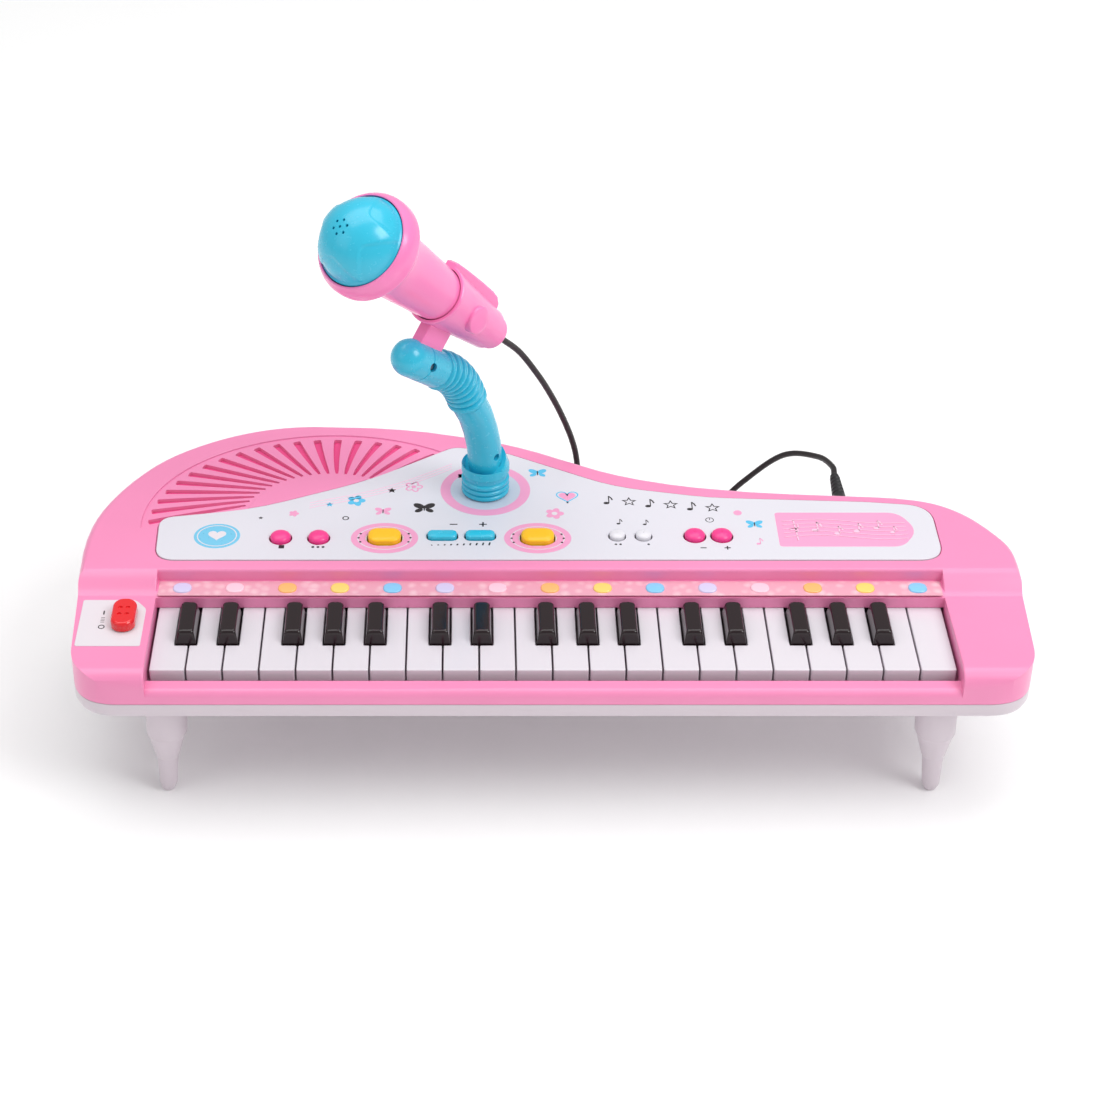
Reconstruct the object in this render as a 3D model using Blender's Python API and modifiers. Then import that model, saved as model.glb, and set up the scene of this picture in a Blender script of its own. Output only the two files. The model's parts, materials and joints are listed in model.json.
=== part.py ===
"""Toy electronic keyboard with a microphone on a bent stand.

Metres, +Z up. The origin is on the floor, under the middle of the case. +X runs along the
keys towards the high notes, and +Y points away from the player.
"""

import math

import bmesh
import bpy
from mathutils import Matrix, Vector

# An outline's points keep this far apart, so that an inset outline doesn't fold over itself
SHORTEST_EDGE = 0.0012

# Clearances
GAP = 0.0003  # between pieces that touch in the real toy
KEY_GAP = 0.0008  # between neighbouring keys
BUTTON_GAP = 0.0006  # round a button in its hole

# Keys
WHITE_COUNT = 22
KEY_PITCH = 0.0164
KEY_THICK = 0.0025
KEY_LIP = 0.0060
KEY_VISIBLE = 0.0457
KEY_TAIL = 0.0255
HINGE_INSET = 0.0015  # from the back end of a key to its hinge line
BLACK_BASE = 0.0093
BLACK_TOP = 0.0050
BLACK_RISE = 0.0065
BLACK_LENGTH = 0.0235
BLACK_SLOPE = 0.0027
BLACK_BACK_GAP = 0.0034
BLACK_TAIL = 0.0060
# Black keys of one octave: the white key on their left, and the shift off that key's edge
BLACKS = ((0, -0.0013), (1, 0.0013), (3, -0.0022), (4, 0.0), (5, 0.0022))

# Case
CHEEK = 0.0368
CASE_WIDTH = WHITE_COUNT * KEY_PITCH + 2 * (KEY_GAP + CHEEK)
CASE_DEPTH = 0.194
WALL = 0.0025
EDGE_ROUND = 0.0040
LEG_HEIGHT = 0.054
TRAY_HEIGHT = 0.008
COVER_HEIGHT = 0.023
KEY_RISE = 0.010  # key tops above the split between the two shells
RAIL_RISE = 0.007
RAIL_DEPTH = 0.0085
KEY_FRONT_GAP = 0.0037
LEDGE_RISE = 0.0168
LEDGE_DEPTH = 0.0122
CHEEK_RISE = 0.0158

# Panel and its buttons
PANEL_THICK = 0.0014
PANEL_PROUD = 0.0004
PANEL_MARGIN = 0.0075
BOARD_THICK = 0.0016
BOARD_DROP = 0.0130
ROUND_RADIUS = 0.0048
SMALL_RADIUS = 0.0036
ROUND_RISE = 0.0030
SMALL_RISE = 0.0024
YELLOW_SIZE = (0.0154, 0.0108)
YELLOW_RISE = 0.0030
PAD_SIZE = (0.0137, 0.0060)
PAD_RISE = 0.0022
BUTTON_ROW = 0.0245  # from the front edge of the deck to the middle of the button row
BUTTON_STEM = 0.0060
BUTTON_FLANGE = 0.0012
FLANGE_OUT = 0.0014
ROCKER_DROP = 0.0012  # room over a rocker's yoke, so that it can tilt

# Grille
SLOT_COUNT = 19
SLOT_OUTER = 0.0040
SLOT_INNER = 0.0018

# Switch
KNOB_SIZE = (0.0110, 0.0200)
KNOB_RISE = 0.0045
KNOB_PROUD = 0.0009
KNOB_STEM = (0.0050, 0.0080)
KNOB_TRAVEL = 0.0020

# Places on the deck: share of the half width, and of the deck's depth from its front edge
STAND_PLACE = (-0.135, 0.521)
SPEAKER_PLACE = (-0.477, 0.56)
GRILLE_CENTRE = (-0.477, 0.314)
PLUG_X = CASE_WIDTH / 2 * 0.6635

# Legs
LEG_PIN = 0.0035
LEG_TOP_RADIUS = 0.0095
LEG_LEAN = 0.045
# Each leg's top: share of the half width and of the half depth
LEG_CORNERS = (
    ("leg_front_left", -0.798, -0.840), ("leg_front_right", 0.798, -0.840),
    ("leg_rear_left", -0.700, 0.440), ("leg_rear_right", 0.760, 0.080),
)

# Stand, clip and microphone
STAND_HEADING = math.radians(227.2)
STAND_RADIUS = 0.00825
COLLAR_RADIUS = 0.0115
COLLAR_HEIGHT = 0.0170
PEG_RADIUS = 0.0075
PEG_DEPTH = 0.0090
# Ends of the straight arm: distance along the heading, and height above the deck
ARM_START = (0.0335, 0.0838)
ARM_END = (0.0578, 0.1031)
MIC_PITCH = math.radians(44.2)
MIC_LENGTH = 0.1179
MIC_TAIL = (-0.0055, 0.0855)  # along the stand's heading, and above the deck
DOME_RADIUS = 0.0202
DOME_BULGE = 0.0170
DOME_WALL = 0.0016
RIM_RADIUS = 0.0237
HANDLE_RADIUS = 0.0124
TAIL_RADIUS = 0.0083
CLIP_START = 0.0080
CLIP_END = 0.0546
CLIP_GAP = 0.0004
CLIP_WALL = 0.0012
TAB_THICK = 0.0056
TAB_WIDTH = 0.0170
TAB_DEPTH = 0.0300

# Cord and plug
CORD_RADIUS = 0.0015
CORD_STEPS = 78
PLUG_BOOT = 0.0045
BOOT_LENGTH = 0.036
PIN_RADIUS = 0.00175
PIN_LENGTH = 0.014
PLUG_WALL_GAP = 0.0008
PLUG_DROP = 0.015

# Levels and lines that follow from the sizes above
TRAY_Z = LEG_HEIGHT
SPLIT_Z = TRAY_Z + TRAY_HEIGHT
DECK_Z = SPLIT_Z + COVER_HEIGHT
DECK_UNDER = DECK_Z - WALL
LEDGE_Z = SPLIT_Z + LEDGE_RISE
KEY_Z = SPLIT_Z + KEY_RISE
RAIL_Z = SPLIT_Z + RAIL_RISE
CHEEK_Z = SPLIT_Z + CHEEK_RISE
PANEL_Z = DECK_Z + PANEL_PROUD
BOARD_Z = DECK_Z - BOARD_DROP
FRONT_Y = -CASE_DEPTH / 2
RAIL_Y = FRONT_Y + RAIL_DEPTH
KEY_FRONT_Y = RAIL_Y + KEY_FRONT_GAP
WALL_Y = KEY_FRONT_Y + KEY_VISIBLE
DECK_Y = WALL_Y + LEDGE_DEPTH
KEY_BACK_Y = WALL_Y + KEY_TAIL
HINGE_Y = KEY_BACK_Y - HINGE_INSET
BUTTON_Y = DECK_Y + BUTTON_ROW
HALF_BED = WHITE_COUNT * KEY_PITCH / 2 + KEY_GAP
DECK_DEPTH = CASE_DEPTH / 2 - DECK_Y

# Case plan from the front left corner round to the right: shares of the half sizes, and corner
# radius. A large radius lets one stretch run smoothly into the next.
SOFT = 0.4
CASE_PLAN = (
    (-0.982, -1.0, 0.022), (0.982, -1.0, 0.022), (1.0, -0.206, SOFT), (0.995, -0.070, SOFT),
    (0.959, 0.082, SOFT), (0.913, 0.215, SOFT), (0.853, 0.308, SOFT), (0.770, 0.352, SOFT),
    (0.630, 0.372, SOFT), (0.505, 0.390, SOFT), (0.385, 0.420, SOFT), (0.275, 0.468, SOFT),
    (0.165, 0.545, SOFT), (0.078, 0.641, SOFT), (-0.009, 0.758, SOFT), (-0.10, 0.850, SOFT),
    (-0.206, 0.920, SOFT), (-0.32, 0.975, SOFT), (-0.459, 1.0, SOFT), (-0.580, 1.0, SOFT),
    (-0.680, 0.945, SOFT), (-0.775, 0.840, SOFT), (-0.865, 0.685, SOFT), (-0.938, 0.454, SOFT),
    (-0.985, 0.206, SOFT), (-1.0, 0.0, SOFT), (-1.0, -0.206, SOFT),
)
# Panel plan: share of the half width, share of the deck's depth from the panel's front edge,
# and corner radius
PANEL_PLAN = (
    (-0.840, 0.0, 0.010), (0.840, 0.0, 0.012), (0.840, 0.375, 0.014), (0.700, 0.405, 0.060),
    (0.358, 0.436, 0.120), (0.150, 0.515, 0.090), (-0.085, 0.765, 0.014), (-0.205, 0.815, 0.010),
    (-0.399, 0.558, 0.150), (-0.640, 0.355, 0.120), (-0.845, 0.290, 0.008),
)

MODEL = bpy.data.collections.new("toy_keyboard")
CUTTERS = bpy.data.collections.new("cutters")


def clear_scene():
    """Remove whatever the file was opened with."""
    for obj in list(bpy.data.objects):
        bpy.data.objects.remove(obj, do_unlink=True)


def finish(name, colour, roughness, metallic=0.0):
    """A plain Principled material from a linear colour."""
    material = bpy.data.materials.new(name)
    material.use_nodes = True
    shader = material.node_tree.nodes["Principled BSDF"]
    shader.inputs["Base Color"].default_value = (*colour, 1.0)
    shader.inputs["Roughness"].default_value = roughness
    shader.inputs["Metallic"].default_value = metallic
    return material


def add_node(obj, material, smooth=False):
    """Put a finished piece in the model's collection."""
    move_to(obj, MODEL)
    obj.data.materials.clear()
    obj.data.materials.append(material)
    if smooth:
        obj.data.shade_smooth()
        obj.data.set_sharp_from_angle(angle=math.radians(40))
    return obj


def add_cutter(obj):
    """Put a helper solid where renders and exports leave it out."""
    move_to(obj, CUTTERS)
    obj.hide_render = True
    obj.display_type = "WIRE"
    return obj


def move_to(obj, collection):
    for old in list(obj.users_collection):
        old.objects.unlink(obj)
    collection.objects.link(obj)


def from_bmesh(name, bm):
    mesh = bpy.data.meshes.new(name)
    bm.to_mesh(mesh)
    bm.free()
    obj = bpy.data.objects.new(name, mesh)
    bpy.context.scene.collection.objects.link(obj)
    return obj


def box(name, low, high):
    """A box between two corners, with its origin at the world's."""
    bm = bmesh.new()
    bmesh.ops.create_cube(bm, size=1.0)
    size = Vector(high) - Vector(low)
    middle = (Vector(high) + Vector(low)) / 2
    bmesh.ops.scale(bm, vec=size, verts=bm.verts)
    bmesh.ops.translate(bm, vec=middle, verts=bm.verts)
    return from_bmesh(name, bm)


def rod(name, radius, low, high, steps=24):
    """An upright cylinder between two points on one vertical line."""
    bm = bmesh.new()
    depth = high[2] - low[2]
    bmesh.ops.create_cone(
        bm, cap_ends=True, segments=steps, radius1=radius, radius2=radius, depth=depth
    )
    bmesh.ops.translate(bm, vec=(low[0], low[1], low[2] + depth / 2), verts=bm.verts)
    return from_bmesh(name, bm)


def curve_to_mesh(curve_object):
    """Replace a curve by its mesh, with the caps joined on."""
    bpy.context.view_layer.update()
    graph = bpy.context.evaluated_depsgraph_get()
    mesh = bpy.data.meshes.new_from_object(curve_object.evaluated_get(graph))
    name = curve_object.name
    place = curve_object.matrix_world.copy()
    bpy.data.objects.remove(curve_object, do_unlink=True)
    obj = bpy.data.objects.new(name, mesh)
    obj.matrix_world = place
    bpy.context.scene.collection.objects.link(obj)
    bm = bmesh.new()
    bm.from_mesh(mesh)
    bmesh.ops.remove_doubles(bm, verts=bm.verts, dist=1e-6)
    bmesh.ops.dissolve_limit(bm, angle_limit=0.002, verts=bm.verts, edges=bm.edges)
    bmesh.ops.recalc_face_normals(bm, faces=bm.faces)
    if bm.calc_volume(signed=True) < 0:
        bmesh.ops.reverse_faces(bm, faces=bm.faces)
    bm.to_mesh(mesh)
    bm.free()
    return obj


def flat_curve(name, points, low, high):
    """A filled outline between two levels."""
    curve = bpy.data.curves.new(name, "CURVE")
    curve.dimensions = "2D"
    curve.fill_mode = "BOTH"
    curve.extrude = (high - low) / 2
    spline = curve.splines.new("POLY")
    spline.points.add(len(points) - 1)
    for anchor, (x, y) in zip(spline.points, points):
        anchor.co = (x, y, 0.0, 1.0)
    spline.use_cyclic_u = True
    obj = bpy.data.objects.new(name, curve)
    obj.location.z = (low + high) / 2
    bpy.context.scene.collection.objects.link(obj)
    return obj


def plate(name, points, low, high):
    """A solid plate of an outline, with its place in its mesh."""
    obj = curve_to_mesh(flat_curve(name, points, low, high))
    apply_place(obj)
    return obj


def apply_place(obj):
    obj.data.transform(obj.matrix_world)
    obj.matrix_world = Matrix.Identity(4)


def side_prism(name, points, left, right):
    """A solid of one side outline, given as (y, z), that runs from left to right."""
    obj = plate(name, points, left, right)
    turn = Matrix(((0, 0, 1, 0), (1, 0, 0, 0), (0, 1, 0, 0), (0, 0, 0, 1)))
    obj.data.transform(turn)
    return obj


def turned(name, profile, steps=24):
    """A solid turned about Z. The profile is (radius, height), down the outer side."""
    mesh = bpy.data.meshes.new(name)
    points = [(radius, 0.0, height) for radius, height in profile]
    edges = [(index, index + 1) for index in range(len(points) - 1)]
    mesh.from_pydata(points, edges, [])
    obj = bpy.data.objects.new(name, mesh)
    bpy.context.scene.collection.objects.link(obj)
    screw = obj.modifiers.new("turn", "SCREW")
    screw.axis = "Z"
    screw.steps = steps
    screw.render_steps = steps
    screw.use_merge_vertices = True
    screw.merge_threshold = 1e-5
    screw.use_smooth_shade = True
    return obj


def bake(obj):
    """Turn a piece with modifiers into a plain mesh."""
    bpy.context.view_layer.update()
    graph = bpy.context.evaluated_depsgraph_get()
    mesh = bpy.data.meshes.new_from_object(obj.evaluated_get(graph))
    obj.modifiers.clear()
    obj.data = mesh
    return obj


def combine(obj, other, operation):
    """Cut or join with another solid, which becomes a hidden helper."""
    modifier = obj.modifiers.new(other.name, "BOOLEAN")
    modifier.operation = operation
    modifier.solver = "EXACT"
    modifier.object = add_cutter(other)
    return obj


def cut(obj, other):
    return combine(obj, other, "DIFFERENCE")


def join(obj, other):
    return combine(obj, other, "UNION")


def set_origin(obj, point):
    """Move a piece's origin to a point, such as its hinge, and leave its shape in place."""
    offset = Vector(point)
    obj.data.transform(Matrix.Translation(-offset))
    obj.location = offset
    return obj


def round_top(obj, level, radius, segments=2):
    """Round the edge round a prism's top or bottom face."""
    bm = bmesh.new()
    bm.from_mesh(obj.data)
    edges = []
    for edge in bm.edges:
        heights_match = all(abs(vert.co.z - level) < 1e-5 for vert in edge.verts)
        steep = len({round(abs(face.normal.z)) for face in edge.link_faces}) == 2
        if heights_match and steep:
            edges.append(edge)
    bmesh.ops.bevel(
        bm, geom=edges, offset=radius, segments=segments, profile=0.5, affect="EDGES"
    )
    bm.to_mesh(obj.data)
    bm.free()
    return obj


def inset_outline(points, distance):
    """Move a closed outline inwards by a distance, along each point's normal."""
    count = len(points)
    moved = []
    for index, point in enumerate(points):
        before = Vector(points[index - 1])
        after = Vector(points[(index + 1) % count])
        along = (after - before).normalized()
        moved.append(tuple(Vector(point) + Vector((-along.y, along.x)) * distance))
    return moved


def rounded_rectangle(width, depth, radius, centre=(0.0, 0.0), steps=3):
    """Points round a rectangle with round corners, counter-clockwise."""
    points = []
    for quarter, (side, end) in enumerate(((1, 1), (-1, 1), (-1, -1), (1, -1))):
        x = centre[0] + side * (width / 2 - radius)
        y = centre[1] + end * (depth / 2 - radius)
        for step in range(steps + 1):
            angle = math.pi / 2 * (quarter + step / steps)
            points.append((x + radius * math.cos(angle), y + radius * math.sin(angle)))
    return points


def case_outline():
    """The case's outline, seen from above."""
    return round_corners([(u * CASE_WIDTH / 2, v * CASE_DEPTH / 2, r) for u, v, r in CASE_PLAN])


def deck_point(u, v):
    """A place on the deck: share of the half width, and of the depth from the front edge."""
    return (u * CASE_WIDTH / 2, DECK_Y + v * DECK_DEPTH)


def panel_outline(margin=0.0):
    """The control panel's outline, set back from the deck's front edge and made larger by a margin."""
    room = DECK_DEPTH - PANEL_MARGIN
    front = DECK_Y + PANEL_MARGIN
    corners = [(u * CASE_WIDTH / 2, front + v * room, radius) for u, v, radius in PANEL_PLAN]
    return inset_outline(round_corners(corners), -margin)


def round_corners(corners, arc=math.radians(25)):
    """An outline whose corners, given as (x, y, radius), are arcs of short straight steps."""
    points = []
    count = len(corners)
    for index, (x, y, radius) in enumerate(corners):
        corner = Vector((x, y))
        to_last = Vector(corners[index - 1][:2]) - corner
        to_next = Vector(corners[(index + 1) % count][:2]) - corner
        turn = math.pi - to_last.angle(to_next)
        reach = min(radius * math.tan(turn / 2), 0.5 * min(to_last.length, to_next.length))
        start = corner + to_last.normalized() * reach
        end = corner + to_next.normalized() * reach
        steps = max(1, math.ceil(turn / arc))
        for step in range(steps + 1):
            t = step / steps
            place = start.lerp(corner, t).lerp(corner.lerp(end, t), t)
            if not points or (place - Vector(points[-1])).length > SHORTEST_EDGE:
                points.append(tuple(place))
    return points


def stand_point(along, height):
    """A point in the stand's upright plane: distance along its heading, and height."""
    x, y = deck_point(*STAND_PLACE)
    return Vector((x + along * math.cos(STAND_HEADING), y + along * math.sin(STAND_HEADING), height))


def case_wall_y(x):
    """Where the back wall's outer face is, at a place along the case."""
    outline = case_outline()
    best = []
    for index, point in enumerate(outline):
        previous = outline[index - 1]
        crosses = (previous[0] - x) * (point[0] - x) <= 0 and previous[0] != point[0]
        if crosses and point[1] > 0:
            share = (x - previous[0]) / (point[0] - previous[0])
            best.append(previous[1] + share * (point[1] - previous[1]))
    return max(best)


def grille_cutters():
    """Wedge slots that fan out round the plain half-round hub over the speaker."""
    centre = Vector(deck_point(*GRILLE_CENTRE))
    outer_axes = Vector((CASE_WIDTH * 0.196, DECK_DEPTH * 0.577))
    inner_axes = Vector((CASE_WIDTH * 0.0986, DECK_DEPTH * 0.335))
    solids = bmesh.new()
    for index in range(SLOT_COUNT):
        share = index / (SLOT_COUNT - 1)
        outer_turn = math.radians(180 - 126 * share)
        inner_turn = math.radians(160 - 101 * share)
        outer = centre + Vector((outer_axes.x * math.cos(outer_turn), outer_axes.y * math.sin(outer_turn)))
        inner = centre + Vector((inner_axes.x * math.cos(inner_turn), inner_axes.y * math.sin(inner_turn)))
        along = (outer - inner).normalized()
        side = Vector((-along.y, along.x))
        made = bmesh.ops.create_cube(solids, size=1.0)["verts"]
        for vert in made:
            at_outer = vert.co.x > 0
            end = outer if at_outer else inner
            half = (SLOT_OUTER if at_outer else SLOT_INNER) / 2
            across = half if vert.co.y > 0 else -half
            place = end + side * across
            height = DECK_Z + WALL if vert.co.z > 0 else DECK_Z - 2 * WALL
            vert.co = (place.x, place.y, height)
    return from_bmesh("grille_slots", solids)


def case_hollow(inner):
    """Room inside the upper shell: under the deck, under the ledge and in both cheeks."""
    ceiling = (
        (FRONT_Y + 2 * WALL, TRAY_Z - WALL), (FRONT_Y + 2 * WALL, CHEEK_Z - 1.5 * WALL),
        (WALL_Y + WALL, CHEEK_Z - 1.5 * WALL), (WALL_Y + WALL, LEDGE_Z - WALL),
        (DECK_Y + WALL, LEDGE_Z - WALL), (DECK_Y + WALL, DECK_UNDER),
        (CASE_DEPTH, DECK_UNDER), (CASE_DEPTH, TRAY_Z - WALL),
    )
    hollow = plate("case_hollow", inner, TRAY_Z, DECK_Z)
    combine(hollow, side_prism("ceiling", ceiling, -CASE_WIDTH, CASE_WIDTH), "INTERSECT")
    bed_low = (-HALF_BED - WALL, FRONT_Y - WALL, TRAY_Z - WALL)
    bed_high = (HALF_BED + WALL, WALL_Y + WALL - GAP, DECK_Z)
    cut(hollow, box("bed_walls", bed_low, bed_high))
    return bake(hollow)


def build_case(pink, white):
    outline = case_outline()
    inner = inset_outline(outline, WALL)
    far = CASE_WIDTH
    upper = plate("upper_case", outline, SPLIT_Z + GAP / 2, DECK_Z)
    round_top(upper, DECK_Z, EDGE_ROUND)
    cheek_front = (
        (DECK_Y, DECK_Z + WALL), (DECK_Y, DECK_Z), (DECK_Y - 0.0035, DECK_Z - 0.0012),
        (WALL_Y + 0.002, CHEEK_Z + 0.0008), (WALL_Y - 0.002, CHEEK_Z),
        (RAIL_Y, CHEEK_Z), (RAIL_Y - 0.0035, CHEEK_Z - 0.0010),
        (FRONT_Y + 0.0020, CHEEK_Z - 0.0035), (FRONT_Y + 0.0004, CHEEK_Z - 0.0070),
        (FRONT_Y - WALL, CHEEK_Z - 0.0085), (FRONT_Y - WALL, DECK_Z + WALL),
    )
    cut(upper, side_prism("cheek_line", cheek_front, -far, far))
    rail = (
        (RAIL_Y, DECK_Z), (RAIL_Y, RAIL_Z), (FRONT_Y + 0.0035, RAIL_Z),
        (FRONT_Y + 0.0010, RAIL_Z - 0.0010), (FRONT_Y - WALL, RAIL_Z - 0.0035), (FRONT_Y - WALL, DECK_Z),
    )
    cut(upper, side_prism("rail_line", rail, -HALF_BED, HALF_BED))
    cut(upper, box("key_opening", (-HALF_BED, RAIL_Y, TRAY_Z), (HALF_BED, WALL_Y, DECK_Z + WALL)))
    cut(upper, box("light_ledge", (-HALF_BED, WALL_Y - WALL, LEDGE_Z), (HALF_BED, DECK_Y, DECK_Z + WALL)))
    cut(upper, case_hollow(inner))
    tails = box("tail_room", (-HALF_BED, WALL_Y - GAP, TRAY_Z), (HALF_BED, WALL_Y + 2 * WALL, KEY_Z + GAP))
    cut(upper, tails)
    cut(upper, grille_cutters())
    recess = plate(
        "panel_recess", panel_outline(2 * GAP), PANEL_Z - PANEL_THICK - GAP, DECK_Z + WALL
    )
    cut(upper, recess)
    x, y = deck_point(*STAND_PLACE)
    cut(upper, rod("stand_hole", PEG_RADIUS + GAP, (x, y, DECK_UNDER - WALL), (x, y, DECK_Z + WALL)))
    slot_size = (KNOB_STEM[0] + 2 * GAP, KNOB_STEM[1] + 2 * (KNOB_TRAVEL + GAP))
    slot = box_on("switch_slot", slot_size, switch_place(), CHEEK_Z - 4 * WALL, CHEEK_Z + WALL)
    cut(upper, slot)
    cut(upper, jack_hole())
    add_node(upper, pink)

    tray = plate("lower_case", outline, TRAY_Z, SPLIT_Z - GAP / 2)
    round_top(tray, TRAY_Z, EDGE_ROUND * 0.75)
    cut(tray, plate("tray_hollow", inner, TRAY_Z + WALL, SPLIT_Z + WALL))
    rib_low = (-HALF_BED + WALL, HINGE_Y - HINGE_INSET, TRAY_Z + WALL / 2)
    rib_high = (HALF_BED - WALL, HINGE_Y + HINGE_INSET, KEY_Z - KEY_THICK - GAP)
    join(tray, box("hinge_rib", rib_low, rib_high))
    for name, x, y in leg_places():
        hole = rod(name + "_hole", LEG_PIN + GAP, (x, y, TRAY_Z - WALL), (x, y, TRAY_Z + 2 * WALL), 16)
        cut(tray, hole)
    add_node(tray, white)
    return upper


def box_on(name, size, centre, low, high):
    """An upright box of a plan size round a centre, between two levels."""
    x, y = centre
    return box(name, (x - size[0] / 2, y - size[1] / 2, low), (x + size[0] / 2, y + size[1] / 2, high))


def switch_place():
    return (-(HALF_BED + CHEEK * 0.338), WALL_Y - 0.0165)


def leg_places():
    """Name and place of each leg's top."""
    return [(name, u * CASE_WIDTH / 2, v * CASE_DEPTH / 2) for name, u, v in LEG_CORNERS]


def build_legs(white):
    top = LEG_HEIGHT - GAP
    profile = (
        (0.0, top + 2 * WALL), (LEG_PIN, top + 2 * WALL), (LEG_PIN, top), (LEG_TOP_RADIUS, top),
        (LEG_TOP_RADIUS - 0.0006, top * 0.86), (LEG_TOP_RADIUS - 0.0012, top * 0.83),
        (0.0066, top * 0.50), (0.0050, top * 0.46), (0.0041, 0.006), (0.0032, 0.0018),
        (0.0022, 0.0), (0.0, 0.0),
    )
    for name, x, y in leg_places():
        leg = bake(turned(name, profile, 16))
        lean = LEG_LEAN if x > 0 else -LEG_LEAN
        for vert in leg.data.vertices:
            drop = max(0.0, top - vert.co.z)
            vert.co.x += lean * drop
        leg.location = (x, y, 0.0)
        add_node(leg, white, smooth=True)


def white_key_edges(index):
    """Left and right edges of a white key: at the front, and behind the black keys."""
    left = (index - WHITE_COUNT / 2) * KEY_PITCH
    right = left + KEY_PITCH
    front = (left + KEY_GAP / 2, right - KEY_GAP / 2)
    notch = BLACK_BASE / 2 + KEY_GAP * 0.6
    back_left, back_right = front
    for place, shift in BLACKS:
        if place == (index - 1) % 7 and index > 0:
            back_left = left + shift + notch
        if place == index % 7 and index < WHITE_COUNT - 1:
            back_right = right + shift - notch
    return front, (back_left, back_right)


def build_white_keys(ivory):
    notch_y = WALL_Y - BLACK_BACK_GAP - BLACK_LENGTH - KEY_GAP
    for index in range(WHITE_COUNT):
        front, back = white_key_edges(index)
        outline = [
            (front[0], KEY_FRONT_Y), (front[1], KEY_FRONT_Y), (front[1], notch_y), (back[1], notch_y),
            (back[1], KEY_BACK_Y), (back[0], KEY_BACK_Y), (back[0], notch_y), (front[0], notch_y),
        ]
        outline = [point for k, point in enumerate(outline) if point != outline[k - 1]]
        name = f"white_key_{index + 1:02d}"
        key = plate(name, drop_straight(outline), KEY_Z - KEY_LIP, KEY_Z)
        low = (front[0] - KEY_GAP, KEY_FRONT_Y + KEY_THICK, KEY_Z - 2 * KEY_LIP)
        high = (front[1] + KEY_GAP, KEY_BACK_Y + KEY_GAP, KEY_Z - KEY_THICK)
        cut(key, box(name + "_underside", low, high))
        set_origin(bake(key), ((front[0] + front[1]) / 2, HINGE_Y, KEY_Z - KEY_THICK))
        add_node(key, ivory)


def drop_straight(points):
    """Leave out the points of an outline that lie on a straight run."""
    kept = []
    count = len(points)
    for index, point in enumerate(points):
        before = Vector(point) - Vector(points[index - 1])
        after = Vector(points[(index + 1) % count]) - Vector(point)
        if abs(before.x * after.y - before.y * after.x) > 1e-10:
            kept.append(point)
    return kept


def build_black_keys(ebony):
    back_y = WALL_Y - BLACK_BACK_GAP
    front_y = back_y - BLACK_LENGTH
    low = KEY_Z - KEY_THICK
    number = 0
    for octave in range(WHITE_COUNT // 7):
        for place, shift in BLACKS:
            number += 1
            x = (octave * 7 + place + 1 - WHITE_COUNT / 2) * KEY_PITCH + shift
            bm = bmesh.new()
            bmesh.ops.create_cube(bm, size=1.0)
            for vert in bm.verts:
                vert.co.x *= BLACK_BASE
                vert.co.y = front_y if vert.co.y < 0 else back_y
                vert.co.z = low if vert.co.z < 0 else KEY_Z
            bm.faces.ensure_lookup_table()
            top = max(bm.faces, key=lambda face: face.calc_center_median().z)
            raised = bmesh.ops.extrude_face_region(bm, geom=[top])["geom"]
            for vert in (item for item in raised if isinstance(item, bmesh.types.BMVert)):
                vert.co.x *= BLACK_TOP / BLACK_BASE
                vert.co.y += BLACK_SLOPE if vert.co.y < (front_y + back_y) / 2 else -KEY_GAP / 2
                vert.co.z += BLACK_RISE
            bmesh.ops.delete(bm, geom=[top], context="FACES_ONLY")
            rear = max(
                (face for face in bm.faces if face.calc_center_median().z < KEY_Z),
                key=lambda face: face.calc_center_median().y,
            )
            pulled = bmesh.ops.extrude_face_region(bm, geom=[rear])["geom"]
            for vert in (item for item in pulled if isinstance(item, bmesh.types.BMVert)):
                vert.co.x *= BLACK_TAIL / BLACK_BASE
                vert.co.y = KEY_BACK_Y
            bmesh.ops.delete(bm, geom=[rear], context="FACES_ONLY")
            bmesh.ops.translate(bm, vec=(x, 0.0, 0.0), verts=bm.verts)
            bmesh.ops.recalc_face_normals(bm, faces=bm.faces)
            key = from_bmesh(f"black_key_{number:02d}", bm)
            set_origin(key, (x, HINGE_Y, low))
            add_node(key, ebony)


def button_x(u):
    return u * CASE_WIDTH / 2


def round_cap_profile(radius, rise, down_to):
    """Side profile of a domed button with its flange under the deck."""
    top = PANEL_Z + rise
    flange = DECK_UNDER - GAP
    return (
        (0.0, top), (radius * 0.5, top - rise * 0.08), (radius * 0.82, top - rise * 0.32),
        (radius * 0.98, top - rise * 0.75), (radius, PANEL_Z), (radius, flange),
        (radius + FLANGE_OUT, flange), (radius + FLANGE_OUT, flange - BUTTON_FLANGE),
        (BUTTON_STEM / 2, flange - BUTTON_FLANGE), (BUTTON_STEM / 2, down_to), (0.0, down_to),
    )


def pad_cap(name, size, rise, centre, radius, flange_top):
    """A raised pad with a rounded plan and a softened top edge, down into its flange."""
    outline = rounded_rectangle(size[0], size[1], radius, centre)
    pad = plate(name, outline, flange_top - BUTTON_FLANGE / 2, PANEL_Z + rise)
    return round_top(pad, PANEL_Z + rise, rise * 0.4)


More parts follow.
